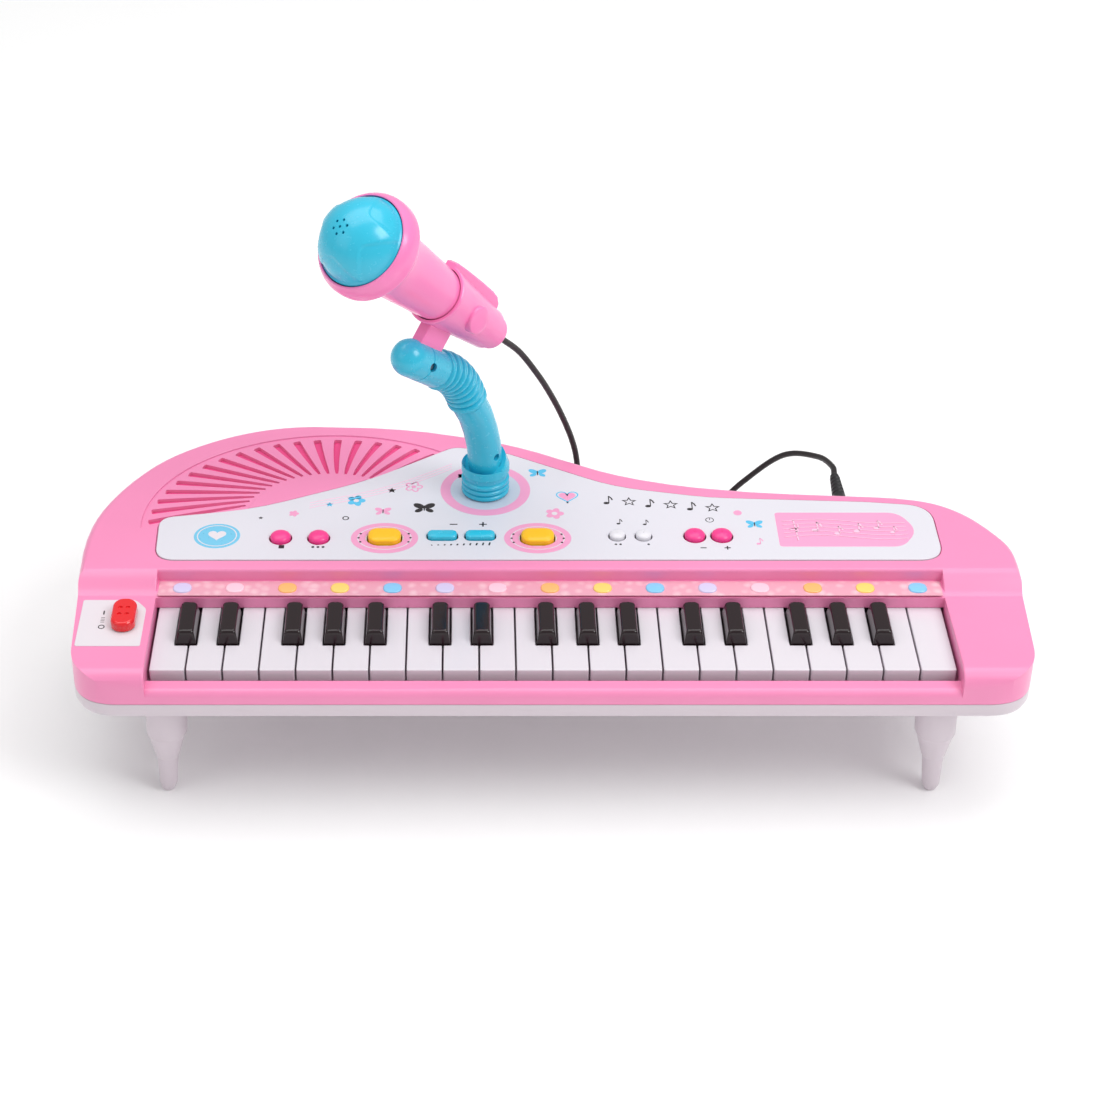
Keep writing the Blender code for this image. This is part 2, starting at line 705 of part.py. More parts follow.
def build_buttons(finishes):
    """The buttons and rockers. Returns the name, middle, size and corner radius of each hole."""
    stop = BOARD_Z + GAP + 0.0018
    flange_top = DECK_UNDER - GAP
    holes = []
    for name, u in (("button_stop", -0.577), ("button_rhythm", -0.495)):
        button = turned(name, round_cap_profile(ROUND_RADIUS, ROUND_RISE, stop), 16)
        button.location = (button_x(u), BUTTON_Y, 0.0)
        add_node(button, finishes["rose"], smooth=True)
        holes.append((name, (button_x(u), BUTTON_Y), None, ROUND_RADIUS))
    for name, u in (("button_demo_left", -0.353), ("button_demo_right", -0.0235)):
        centre = (button_x(u), BUTTON_Y)
        cap = pad_cap(name, YELLOW_SIZE, YELLOW_RISE, centre, YELLOW_SIZE[1] * 0.42, flange_top)
        flange = [side + 2 * FLANGE_OUT for side in YELLOW_SIZE]
        join(cap, box_on(name + "_flange", flange, centre, flange_top - BUTTON_FLANGE, flange_top))
        stem = rod(name + "_stem", BUTTON_STEM / 2, (*centre, stop), (*centre, flange_top - GAP), 12)
        join(cap, stem)
        add_node(set_origin(bake(cap), (*centre, PANEL_Z)), finishes["yellow"])
        holes.append((name, centre, YELLOW_SIZE, YELLOW_SIZE[1] * 0.42))
    rockers = (
        ("volume_rocker", -0.188, 0.0089, PAD_SIZE, PAD_RISE, PAD_SIZE[1] * 0.4, "aqua"),
        ("tone_rocker", 0.1765, 0.0062, (2 * SMALL_RADIUS,) * 2, SMALL_RISE, SMALL_RADIUS * 0.98, "white"),
        ("tempo_rocker", 0.3445, 0.00635, (2 * ROUND_RADIUS,) * 2, ROUND_RISE, ROUND_RADIUS * 0.98, "rose"),
    )
    for name, u, reach, size, rise, radius, colour in rockers:
        centre = (button_x(u), BUTTON_Y + 0.0015)
        yoke = (2 * reach + size[0], BUTTON_STEM)
        yoke_top = flange_top - ROCKER_DROP
        body = box_on(name, yoke, centre, yoke_top - 2 * BUTTON_FLANGE, yoke_top)
        for side in (-1, 1):
            middle = (centre[0] + side * reach, centre[1])
            join(body, pad_cap(f"{name}_{side}", size, rise, middle, radius, yoke_top))
            holes.append((f"{name}_{side}", middle, size, radius))
        add_node(set_origin(bake(body), (*centre, yoke_top - 2 * BUTTON_FLANGE)), finishes[colour])
    return holes


def cut_button_holes(holes, upper, panel):
    for name, centre, size, radius in holes:
        if size is None:
            size = (2 * radius, 2 * radius)
        wide = (size[0] + 2 * BUTTON_GAP, size[1] + 2 * BUTTON_GAP)
        outline = rounded_rectangle(*wide, min(radius + BUTTON_GAP, min(wide) * 0.495), centre)
        for target in (upper, panel):
            tag = f"{name}_hole_{target.name}"
            cut(target, plate(tag, outline, DECK_UNDER - WALL, DECK_Z + 2 * WALL))


def build_panel(white):
    panel = plate("control_panel", panel_outline(), PANEL_Z - PANEL_THICK, PANEL_Z)
    x, y = deck_point(*STAND_PLACE)
    cut(panel, rod("panel_stand_hole", PEG_RADIUS + GAP, (x, y, DECK_UNDER), (x, y, DECK_Z + WALL)))
    return add_node(panel, white)


def build_switch(red):
    x, y = switch_place()
    low = CHEEK_Z + KNOB_PROUD
    outline = rounded_rectangle(*KNOB_SIZE, KNOB_SIZE[0] * 0.46, (x, y))
    knob = round_top(plate("power_switch", outline, low, low + KNOB_RISE), low + KNOB_RISE, 0.0014)
    stem = box_on("switch_stem", KNOB_STEM, (x, y), CHEEK_Z - 2.5 * WALL, low + GAP)
    join(knob, stem)
    add_node(set_origin(bake(knob), (x, y, low)), red)


def build_inside(green, grey):
    """The button board with the jack's socket on it, and the speaker under the grille."""
    low, high = BOARD_Z - BOARD_THICK, BOARD_Z
    left, right = -CASE_WIDTH * 0.38, CASE_WIDTH * 0.365
    board = box("circuit_board", (left, KEY_BACK_Y + 0.004, low), (right, BUTTON_Y + 0.020, high))
    wall = case_wall_y(PLUG_X)
    socket_low = (PLUG_X - 0.0055, BUTTON_Y + 0.016, DECK_Z - PLUG_DROP - 0.005)
    socket_high = (PLUG_X + 0.0055, wall - WALL - 0.0015, DECK_Z - PLUG_DROP + 0.005)
    join(board, box("jack_socket", socket_low, socket_high))
    cut(board, jack_bore())
    add_node(board, green)

    top = DECK_UNDER - 2 * GAP
    profile = (
        (0.0, top - 0.0055), (0.008, top - 0.0058), (0.022, top - 0.0006), (0.025, top),
        (0.025, top - 0.002), (0.013, top - 0.0095), (0.013, SPLIT_Z), (0.0, SPLIT_Z),
    )
    speaker = turned("speaker", profile, 24)
    speaker.location = (*deck_point(*SPEAKER_PLACE), 0.0)
    add_node(speaker, grey, smooth=True)


def plug_frame():
    """Local Z runs out of the back wall, away from the player."""
    base = Vector((PLUG_X, case_wall_y(PLUG_X) + PLUG_WALL_GAP, DECK_Z - PLUG_DROP))
    return Matrix.Translation(base) @ Matrix.Rotation(math.radians(-90), 4, "X")


def jack_cutter(name, radius, low, high):
    hole = rod(name, radius, (0, 0, low), (0, 0, high), 16)
    hole.data.transform(plug_frame())
    return hole


def jack_hole():
    return jack_cutter("jack_hole", PIN_RADIUS + GAP, -3 * WALL, 2 * WALL)


def jack_bore():
    return jack_cutter("jack_bore", PIN_RADIUS + GAP, -PIN_LENGTH - PLUG_WALL_GAP - 0.001, 2 * WALL)


def build_plug(black):
    profile = (
        (0.0, BOOT_LENGTH), (0.0022, BOOT_LENGTH), (0.0026, BOOT_LENGTH * 0.80),
        (0.0034, BOOT_LENGTH * 0.42), (0.0041, BOOT_LENGTH * 0.30), (PLUG_BOOT, BOOT_LENGTH * 0.26),
        (PLUG_BOOT, 0.0), (PIN_RADIUS, 0.0), (PIN_RADIUS, 0.0015 - PIN_LENGTH),
        (0.0, -PIN_LENGTH),
    )
    plug = turned("mic_plug", profile, 16)
    plug.matrix_world = plug_frame()
    add_node(plug, black, smooth=True)


def stand_line():
    """Points along the stand and the radius at each: peg, ribbed collar, bend, ribs and cap."""
    stations = [(0.0, -PEG_DEPTH, PEG_RADIUS), (0.0, PANEL_PROUD + GAP, PEG_RADIUS)]
    ribs = 3
    for rib in range(ribs):
        base = PANEL_PROUD + GAP + rib * 0.0036
        stations.append((0.0, base + 1e-5, COLLAR_RADIUS - 0.0012))
        stations.append((0.0, base + 0.0018, COLLAR_RADIUS))
    stations.append((0.0, COLLAR_HEIGHT - 0.0060, COLLAR_RADIUS - 0.0010))
    stations.append((0.0, COLLAR_HEIGHT - 0.0048, COLLAR_RADIUS))
    stations.append((0.0, COLLAR_HEIGHT, COLLAR_RADIUS))
    stations.append((0.0002, COLLAR_HEIGHT + 1e-5, STAND_RADIUS))
    bend = [(0.0003, 0.022), (0.0022, 0.032), (0.0062, 0.045), (0.0125, 0.057)]
    stations += [(along, height, STAND_RADIUS) for along, height in bend]
    rib_count = 8
    start, end = Vector((0.0125, 0.057)), Vector(ARM_START)
    bow = Vector((-0.0022, 0.0026))
    for rib in range(rib_count):
        for half, radius in ((0.15, STAND_RADIUS + 0.0001), (0.5, STAND_RADIUS + 0.0012)):
            share = (rib + half) / rib_count
            place = start.lerp(end, share) + bow * (4 * share * (1 - share))
            stations.append((place.x, place.y, radius))
    arm = Vector(ARM_END) - Vector(ARM_START)
    direction = arm.normalized()
    radius = STAND_RADIUS + 0.0005
    stations.append((*ARM_START, radius))
    stations.append((*(Vector(ARM_START) + direction * 0.022), radius))
    for turn in (0, 25, 50, 70, 84):
        angle = math.radians(turn)
        place = Vector(ARM_START) + direction * (0.0225 + radius * math.sin(angle))
        stations.append((place.x, place.y, radius * math.cos(angle)))
    return stations


def sweep(name, stations, sides):
    """A POLY curve with a round section whose radius changes along it."""
    curve = bpy.data.curves.new(name, "CURVE")
    curve.dimensions = "3D"
    curve.bevel_depth = 1.0
    curve.bevel_resolution = (sides - 4) // 2
    curve.use_fill_caps = True
    spline = curve.splines.new("POLY")
    spline.points.add(len(stations) - 1)
    for anchor, (place, radius) in zip(spline.points, stations):
        anchor.co = (*place, 1.0)
        anchor.radius = radius
    obj = bpy.data.objects.new(name, curve)
    bpy.context.scene.collection.objects.link(obj)
    return obj


def build_stand(aqua):
    places = [(stand_point(s, DECK_Z + h), radius) for s, h, radius in stand_line()]
    stand = curve_to_mesh(sweep("mic_stand", places, 16))
    slot = tab_solid("stand_slot", GAP)
    cut(stand, slot)
    base = stand_point(0.0, DECK_Z)
    set_origin(bake(stand), base)
    add_node(stand, aqua, smooth=True)


def mic_frame():
    """Local Z runs from the microphone's tail to its dome, and local X stays level."""
    tail = stand_point(MIC_TAIL[0], DECK_Z + MIC_TAIL[1])
    turn = Matrix.Rotation(STAND_HEADING, 4, "Z") @ Matrix.Rotation(math.pi / 2 - MIC_PITCH, 4, "Y")
    return Matrix.Translation(tail) @ turn


def tab_solid(name, margin):
    """The clip's flat tab, from the sleeve down into the arm."""
    half = TAB_WIDTH / 2 + margin
    middle = (CLIP_START + CLIP_END) / 2 + 0.0103
    low = (HANDLE_RADIUS - 0.003, -TAB_THICK / 2 - margin, middle - half)
    high = (TAB_DEPTH + margin, TAB_THICK / 2 + margin, middle + half)
    if margin:
        low = (HANDLE_RADIUS + 0.004, low[1], low[2])
    tab = box(name, low, high)
    tab.data.transform(mic_frame())
    return tab


def build_clip(pink):
    """Sleeve round the microphone's tail, with its top rib, thumb bump and tab."""
    def inner(height):
        return mic_radius(height) + CLIP_GAP

    front, back = CLIP_END, CLIP_START
    profile = (
        (inner(front), front), (inner(front) + CLIP_WALL, front),
        (inner(back) + CLIP_WALL, back), (inner(back), back), (inner(front), front),
    )
    clip = bake(turned("mic_clip", profile, 24))
    clip.data.transform(mic_frame())
    outer = inner(front) + CLIP_WALL
    rib = box("clip_rib", (-outer - 0.0014, -0.0035, 0.012), (-outer + 0.0042, 0.0035, front - 0.0005))
    for vert in rib.data.vertices:
        vert.co.x += 0.0042 * (front - vert.co.z) / (front - back)
    rib.data.transform(mic_frame())
    join(clip, rib)
    join(clip, tab_solid("clip_tab", 0.0))
    bore_profile = ((0.0, front + 0.01), (inner(front), front + 0.01), (inner(front), front),
                    (inner(back), back), (inner(back), back - 0.004), (0.0, back - 0.004))
    bore = bake(turned("clip_bore", bore_profile, 24))
    bore.data.transform(mic_frame())
    cut(clip, bore)
    add_node(bake(clip), pink, smooth=True)


def mic_radius(height):
    """Radius of the microphone's handle inside the clip."""
    share = (height - CLIP_START) / (CLIP_END - CLIP_START)
    return TAIL_RADIUS + (HANDLE_RADIUS - TAIL_RADIUS) * share


def build_microphone(pink, aqua):
    seat = MIC_LENGTH - 0.005
    cup = MIC_LENGTH
    profile = (
        (0.0, seat), (DOME_RADIUS + GAP, seat), (DOME_RADIUS + GAP, cup),
        (DOME_RADIUS + 0.0012, cup + 0.0004), (RIM_RADIUS - 0.0009, cup - 0.0016),
        (RIM_RADIUS, cup - 0.0045), (RIM_RADIUS, cup - 0.0085), (RIM_RADIUS - 0.0037, cup - 0.0130),
        (RIM_RADIUS - 0.0071, cup - 0.0200), (RIM_RADIUS - 0.0088, cup - 0.0320),
        (HANDLE_RADIUS + 0.0010, cup - 0.0540),
        (HANDLE_RADIUS, CLIP_END), (TAIL_RADIUS, CLIP_START), (TAIL_RADIUS, 0.0030),
        (TAIL_RADIUS - 0.0022, 0.0008), (CORD_RADIUS * 2, 0.0), (0.0, 0.0),
    )
    body = turned("mic_body", profile, 24)
    body.matrix_world = mic_frame()
    add_node(body, pink, smooth=True)

    ball = (DOME_RADIUS**2 + DOME_BULGE**2) / (2 * DOME_BULGE)
    centre = cup + DOME_BULGE - ball
    reach = math.acos((cup - centre) / ball)
    steps = 5
    outer = [
        (ball * math.sin(reach * k / steps), centre + ball * math.cos(reach * k / steps))
        for k in range(steps + 1)
    ]
    inside = ball - DOME_WALL
    under = [
        (inside * math.sin(reach * k / steps), centre + inside * math.cos(reach * k / steps))
        for k in range(steps, -1, -1)
    ]
    skirt = seat + GAP
    wall = [(outer[-1][0], skirt), (under[0][0], skirt)]
    dome = turned("mic_dome", outer + wall + under, 24)
    dome.matrix_world = mic_frame()
    add_node(dome, aqua, smooth=True)


# Cord route from the microphone's tail to the plug: leaves along the tail, falls behind the
# case, lies in one loose bend on the floor and rises to the back wall
CORD_ROUTE = (
    (-0.0136, 0.0537, 0.1534), (-0.0058, 0.0597, 0.1391), (0.0008, 0.0656, 0.1247),
    (0.0077, 0.0717, 0.1071), (0.0137, 0.0771, 0.0884), (0.0167, 0.0797, 0.0729),
    (0.0190, 0.0840, 0.0450), (0.0180, 0.0900, 0.0200), (0.0110, 0.1000, 0.0050),
    (-0.0030, 0.1100, 0.0016), (-0.0400, 0.1160, 0.0016), (-0.0760, 0.1160, 0.0016),
    (-0.1000, 0.1250, 0.0016), (-0.0960, 0.1420, 0.0016), (-0.0700, 0.1490, 0.0016),
    (-0.0250, 0.1440, 0.0016), (0.0250, 0.1360, 0.0016), (0.0600, 0.1220, 0.0030),
    (0.0840, 0.1160, 0.0130), (0.1050, 0.1180, 0.0350), (0.1240, 0.1120, 0.0560),
    (0.1390, 0.0960, 0.0660),
)


def cord_points():
    """The route as one smooth open curve with evenly spaced points."""
    tail = mic_frame()
    start = tail @ Vector((0.0, 0.0, -GAP))
    lead = tail @ Vector((0.0, 0.0, -0.0085))
    end = plug_frame() @ Vector((0.0, 0.0, BOOT_LENGTH + GAP))
    before_end = plug_frame() @ Vector((0.0, 0.0, BOOT_LENGTH + 0.0085))
    anchors = [start, lead] + [Vector(point) for point in CORD_ROUTE] + [before_end, end]
    fine = []
    span = 24
    padded = [2 * anchors[0] - anchors[1]] + anchors + [2 * anchors[-1] - anchors[-2]]
    for index in range(1, len(padded) - 2):
        p0, p1, p2, p3 = padded[index - 1:index + 3]
        for step in range(span):
            t = step / span
            fine.append(
                (2 * p1 + (p2 - p0) * t + (2 * p0 - 5 * p1 + 4 * p2 - p3) * t**2
                 + (3 * p1 - p0 - 3 * p2 + p3) * t**3) / 2
            )
    fine.append(anchors[-1])
    lengths = [0.0]
    for before, after in zip(fine, fine[1:]):
        lengths.append(lengths[-1] + (after - before).length)
    even = []
    index = 0
    for step in range(CORD_STEPS + 1):
        target = lengths[-1] * step / CORD_STEPS
        while index < len(lengths) - 2 and lengths[index + 1] < target:
            index += 1
        share = (target - lengths[index]) / (lengths[index + 1] - lengths[index])
        even.append(fine[index].lerp(fine[index + 1], share))
    return even


def build_cord(black):
    cord = sweep("mic_cord", [(point, CORD_RADIUS) for point in cord_points()], 8)
    add_node(curve_to_mesh(cord), black, smooth=True)


def main():
    clear_scene()
    bpy.context.scene.collection.children.link(MODEL)
    bpy.context.scene.collection.children.link(CUTTERS)
    finishes = {
        "pink": finish("pink gloss plastic", (0.93, 0.32, 0.52), 0.25),
        "white": finish("white gloss plastic", (0.85, 0.83, 0.85), 0.3),
        "ivory": finish("white key plastic", (0.88, 0.86, 0.88), 0.3),
        "ebony": finish("black key plastic", (0.02, 0.012, 0.015), 0.15),
        "aqua": finish("aqua gloss plastic", (0.03, 0.52, 0.75), 0.25),
        "rose": finish("rose gloss plastic", (0.90, 0.08, 0.28), 0.3),
        "yellow": finish("yellow gloss plastic", (0.95, 0.55, 0.02), 0.3),
        "red": finish("red gloss plastic", (0.80, 0.01, 0.02), 0.25),
        "black": finish("black soft plastic", (0.015, 0.014, 0.015), 0.5),
        "green": finish("green circuit board", (0.02, 0.18, 0.06), 0.5),
        "grey": finish("grey metal", (0.35, 0.35, 0.36), 0.4, 1.0),
    }
    upper = build_case(finishes["pink"], finishes["white"])
    panel = build_panel(finishes["white"])
    cut_button_holes(build_buttons(finishes), upper, panel)
    build_legs(finishes["white"])
    build_white_keys(finishes["ivory"])
    build_black_keys(finishes["ebony"])
    build_switch(finishes["red"])
    build_inside(finishes["green"], finishes["grey"])
    build_stand(finishes["aqua"])
    build_clip(finishes["pink"])
    build_microphone(finishes["pink"], finishes["aqua"])
    build_plug(finishes["black"])
    build_cord(finishes["black"])


main()
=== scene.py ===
"""Looks of the toy electronic keyboard and its microphone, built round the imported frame.

Metres, in the frame's axes: +X towards the high notes, +Y away from the player, +Z up.
"""

import json
import logging
import math
from collections.abc import Callable, Iterable, Sequence
from dataclasses import dataclass, field
from enum import Enum

import bmesh
import bpy
from mathutils import Matrix, Vector
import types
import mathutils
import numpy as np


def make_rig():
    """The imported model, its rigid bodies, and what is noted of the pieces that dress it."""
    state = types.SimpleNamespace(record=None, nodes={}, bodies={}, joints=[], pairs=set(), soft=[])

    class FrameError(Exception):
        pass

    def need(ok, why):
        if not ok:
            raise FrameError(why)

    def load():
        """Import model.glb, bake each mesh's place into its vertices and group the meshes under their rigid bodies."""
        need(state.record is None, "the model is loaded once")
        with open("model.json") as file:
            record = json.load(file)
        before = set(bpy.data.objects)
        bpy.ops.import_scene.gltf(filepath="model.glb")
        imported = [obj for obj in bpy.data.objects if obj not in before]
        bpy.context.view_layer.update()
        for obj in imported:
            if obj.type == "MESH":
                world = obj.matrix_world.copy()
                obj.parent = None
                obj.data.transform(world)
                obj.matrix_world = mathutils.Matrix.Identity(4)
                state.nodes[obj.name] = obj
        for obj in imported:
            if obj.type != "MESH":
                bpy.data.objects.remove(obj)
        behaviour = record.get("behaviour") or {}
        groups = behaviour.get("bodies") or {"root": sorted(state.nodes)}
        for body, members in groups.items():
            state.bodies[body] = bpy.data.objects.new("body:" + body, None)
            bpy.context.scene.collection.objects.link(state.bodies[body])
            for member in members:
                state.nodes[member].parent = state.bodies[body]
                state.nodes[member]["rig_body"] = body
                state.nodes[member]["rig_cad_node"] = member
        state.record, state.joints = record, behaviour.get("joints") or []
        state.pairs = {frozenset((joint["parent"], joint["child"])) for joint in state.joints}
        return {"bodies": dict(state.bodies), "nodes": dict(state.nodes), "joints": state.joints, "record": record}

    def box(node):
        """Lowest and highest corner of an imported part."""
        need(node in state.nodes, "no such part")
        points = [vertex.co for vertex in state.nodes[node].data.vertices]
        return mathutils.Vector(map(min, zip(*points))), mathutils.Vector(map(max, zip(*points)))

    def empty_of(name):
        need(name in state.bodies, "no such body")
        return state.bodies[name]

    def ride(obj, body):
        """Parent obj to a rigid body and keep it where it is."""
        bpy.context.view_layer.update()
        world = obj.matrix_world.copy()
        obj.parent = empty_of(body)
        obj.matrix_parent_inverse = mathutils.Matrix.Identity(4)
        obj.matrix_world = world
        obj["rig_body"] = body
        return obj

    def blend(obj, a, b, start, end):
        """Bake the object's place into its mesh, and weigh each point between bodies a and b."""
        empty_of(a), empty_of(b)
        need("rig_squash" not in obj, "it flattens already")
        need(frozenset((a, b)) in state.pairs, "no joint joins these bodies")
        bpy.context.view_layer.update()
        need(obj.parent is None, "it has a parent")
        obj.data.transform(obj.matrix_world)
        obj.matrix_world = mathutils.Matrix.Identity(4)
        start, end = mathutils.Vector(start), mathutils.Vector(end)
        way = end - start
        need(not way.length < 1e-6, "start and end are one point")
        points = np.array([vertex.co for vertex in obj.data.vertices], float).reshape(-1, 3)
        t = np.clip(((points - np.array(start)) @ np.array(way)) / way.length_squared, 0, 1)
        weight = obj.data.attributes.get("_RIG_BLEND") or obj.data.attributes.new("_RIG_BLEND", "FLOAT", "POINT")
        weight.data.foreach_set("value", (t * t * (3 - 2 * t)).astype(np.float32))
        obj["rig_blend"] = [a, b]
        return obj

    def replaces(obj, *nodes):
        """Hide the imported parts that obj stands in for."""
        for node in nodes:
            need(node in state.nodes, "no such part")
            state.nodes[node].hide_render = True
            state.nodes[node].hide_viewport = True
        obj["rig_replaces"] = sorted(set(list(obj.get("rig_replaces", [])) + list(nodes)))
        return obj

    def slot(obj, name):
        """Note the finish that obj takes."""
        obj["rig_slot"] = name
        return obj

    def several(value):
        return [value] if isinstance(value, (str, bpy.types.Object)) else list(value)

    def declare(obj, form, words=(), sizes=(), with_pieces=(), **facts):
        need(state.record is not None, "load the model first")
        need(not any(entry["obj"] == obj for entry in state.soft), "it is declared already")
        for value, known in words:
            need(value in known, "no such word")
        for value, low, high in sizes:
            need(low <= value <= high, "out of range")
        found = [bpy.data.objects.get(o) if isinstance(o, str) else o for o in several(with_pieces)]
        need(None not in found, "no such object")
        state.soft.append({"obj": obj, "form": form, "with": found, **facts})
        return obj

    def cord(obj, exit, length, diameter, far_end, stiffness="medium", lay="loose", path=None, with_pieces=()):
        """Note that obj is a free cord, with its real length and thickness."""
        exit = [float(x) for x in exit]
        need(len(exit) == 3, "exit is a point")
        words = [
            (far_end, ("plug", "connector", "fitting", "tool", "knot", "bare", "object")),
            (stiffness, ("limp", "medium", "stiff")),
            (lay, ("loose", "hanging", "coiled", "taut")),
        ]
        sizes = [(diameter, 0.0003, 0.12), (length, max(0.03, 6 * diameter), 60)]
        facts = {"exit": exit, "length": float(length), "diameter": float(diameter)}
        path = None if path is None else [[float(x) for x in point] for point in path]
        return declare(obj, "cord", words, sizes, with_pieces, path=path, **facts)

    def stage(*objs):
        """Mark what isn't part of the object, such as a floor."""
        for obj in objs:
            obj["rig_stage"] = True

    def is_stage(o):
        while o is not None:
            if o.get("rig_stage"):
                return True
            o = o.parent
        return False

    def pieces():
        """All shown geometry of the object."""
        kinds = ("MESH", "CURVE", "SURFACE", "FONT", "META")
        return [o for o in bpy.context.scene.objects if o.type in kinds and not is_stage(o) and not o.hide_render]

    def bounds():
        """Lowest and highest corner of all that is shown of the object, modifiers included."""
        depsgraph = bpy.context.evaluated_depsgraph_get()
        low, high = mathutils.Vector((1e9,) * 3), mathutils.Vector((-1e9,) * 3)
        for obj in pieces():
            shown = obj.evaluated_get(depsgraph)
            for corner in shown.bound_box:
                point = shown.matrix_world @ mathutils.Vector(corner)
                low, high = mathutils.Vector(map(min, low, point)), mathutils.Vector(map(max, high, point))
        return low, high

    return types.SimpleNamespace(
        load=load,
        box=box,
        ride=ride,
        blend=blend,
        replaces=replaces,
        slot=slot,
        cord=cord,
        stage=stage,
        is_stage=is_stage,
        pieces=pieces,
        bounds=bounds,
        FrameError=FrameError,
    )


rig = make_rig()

for leftover in list(bpy.data.objects):
    bpy.data.objects.remove(leftover)
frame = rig.load()
CAD_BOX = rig.bounds()

LOG = logging.getLogger("toy_keyboard")
MM = 0.001
Point2 = tuple[float, float]
Outline = list[Point2]
Ring = list[Vector]

# Levels and lines of the case, read from the frame
UPPER_LOW, UPPER_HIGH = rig.box("upper_case")
HALF_WIDTH = -UPPER_LOW.x
HALF_DEPTH = -UPPER_LOW.y
FRONT_Y = UPPER_LOW.y
DECK_Z = UPPER_HIGH.z
SPLIT_Z = UPPER_LOW.z
TRAY_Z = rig.box("lower_case")[0].z
PANEL_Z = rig.box("control_panel")[1].z
KEY_LOW, KEY_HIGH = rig.box("white_key_01")
KEY_Z = KEY_HIGH.z
KEY_FRONT_Y = KEY_LOW.y
KEY_BACK_Y = KEY_HIGH.y
KEY_COUNT = 22
KEY_PITCH = (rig.box("white_key_22")[0].x - KEY_LOW.x) / (KEY_COUNT - 1)
KEY_GAP = KEY_PITCH - (KEY_HIGH.x - KEY_LOW.x)
WALL = 2.5 * MM
RAIL_Y = KEY_FRONT_Y - 3.7 * MM
WALL_Y = KEY_FRONT_Y + 45.7 * MM
DECK_Y = WALL_Y + 12.2 * MM
DECK_DEPTH = HALF_DEPTH - DECK_Y
LEDGE_Z = DECK_Z - 6.2 * MM
CHEEK_Z = DECK_Z - 7.2 * MM
RAIL_Z = DECK_Z - 16 * MM
HALF_BED = KEY_COUNT * KEY_PITCH / 2 + KEY_GAP
BUTTON_Y = sum(corner.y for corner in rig.box("button_stop")) / 2

# Case plan from the front left corner round to the right: shares of the half sizes, and radius
SOFT = 0.4
CASE_PLAN = (
    (-0.982, -1.0, 0.022), (0.982, -1.0, 0.022), (1.0, -0.206, SOFT), (0.995, -0.070, SOFT),
    (0.959, 0.082, SOFT), (0.913, 0.215, SOFT), (0.853, 0.308, SOFT), (0.770, 0.352, SOFT),
    (0.630, 0.372, SOFT), (0.505, 0.390, SOFT), (0.385, 0.420, SOFT), (0.275, 0.468, SOFT),
    (0.165, 0.545, SOFT), (0.078, 0.641, SOFT), (-0.009, 0.758, SOFT), (-0.10, 0.850, SOFT),
    (-0.206, 0.920, SOFT), (-0.32, 0.975, SOFT), (-0.459, 1.0, SOFT), (-0.580, 1.0, SOFT),
    (-0.680, 0.945, SOFT), (-0.775, 0.840, SOFT), (-0.865, 0.685, SOFT), (-0.938, 0.454, SOFT),
    (-0.985, 0.206, SOFT), (-1.0, 0.0, SOFT), (-1.0, -0.206, SOFT),
)
PANEL_PLAN = (
    (-0.840, 0.0, 0.010), (0.840, 0.0, 0.012), (0.840, 0.375, 0.014), (0.700, 0.405, 0.060),
    (0.358, 0.436, 0.120), (0.150, 0.515, 0.090), (-0.085, 0.765, 0.014), (-0.205, 0.815, 0.010),
    (-0.399, 0.558, 0.150), (-0.640, 0.355, 0.120), (-0.845, 0.290, 0.008),
)
PANEL_SET_BACK = 7.5 * MM
FINE_ARC = math.radians(5)


# ---------------------------------------------------------------- outlines


def inset(points: Sequence[Point2], distance: float) -> Outline:
    """Move a closed outline, counter-clockwise, inwards with mitred corners.

    Args:
        points: the outline.
        distance: how far inwards; a negative distance moves it outwards.

    Returns:
        The moved outline, with as many points.
    """
    moved = []
    count = len(points)
    for index, point in enumerate(points):
        here = Vector(point)
        before = (here - Vector(points[index - 1])).normalized()
        after = (Vector(points[(index + 1) % count]) - here).normalized()
        first, second = Vector((-before.y, before.x)), Vector((-after.y, after.x))
        middle = (first + second).normalized()
        moved.append(tuple(here + middle * (distance / max(0.35, middle.dot(first)))))
    return moved


def round_corners(corners: Iterable[tuple[float, float, float]], arc: float = FINE_ARC,
                  shortest: float = 0.5 * MM) -> Outline:
    """Turn corners given as (x, y, radius) into an outline with round corners.

    Args:
        corners: the corners, in order.
        arc: the turn from one point of a corner to the next.
        shortest: the least distance between two points.

    Returns:
        The outline's points.
    """
    corners = list(corners)
    points: Outline = []
    for index, (x, y, radius) in enumerate(corners):
        corner = Vector((x, y))
        to_last = Vector(corners[index - 1][:2]) - corner
        to_next = Vector(corners[(index + 1) % len(corners)][:2]) - corner
        turn = math.pi - to_last.angle(to_next)
        reach = min(radius * math.tan(turn / 2), 0.5 * min(to_last.length, to_next.length))
        start = corner + to_last.normalized() * reach
        end = corner + to_next.normalized() * reach
        steps = max(1, math.ceil(turn / arc))
        for step in range(steps + 1):
            t = step / steps
            place = start.lerp(corner, t).lerp(corner.lerp(end, t), t)
            if not points or (place - Vector(points[-1])).length > shortest:
                points.append(tuple(place))
    while (Vector(points[0]) - Vector(points[-1])).length < shortest:
        points.pop()
    return points


def case_outline() -> Outline:
    """The case's outline from above."""
    return round_corners((u * HALF_WIDTH, v * HALF_DEPTH, radius) for u, v, radius in CASE_PLAN)


def panel_outline(margin: float = 0.0) -> Outline:
    """The control panel's outline from above, made larger by a margin.

    Args:
        margin: how much larger.

    Returns:
        The outline's points.
    """
    front = DECK_Y + PANEL_SET_BACK
    room = HALF_DEPTH - front
    corners = ((u * HALF_WIDTH, front + v * room, radius) for u, v, radius in PANEL_PLAN)
    return inset(round_corners(corners), -margin)


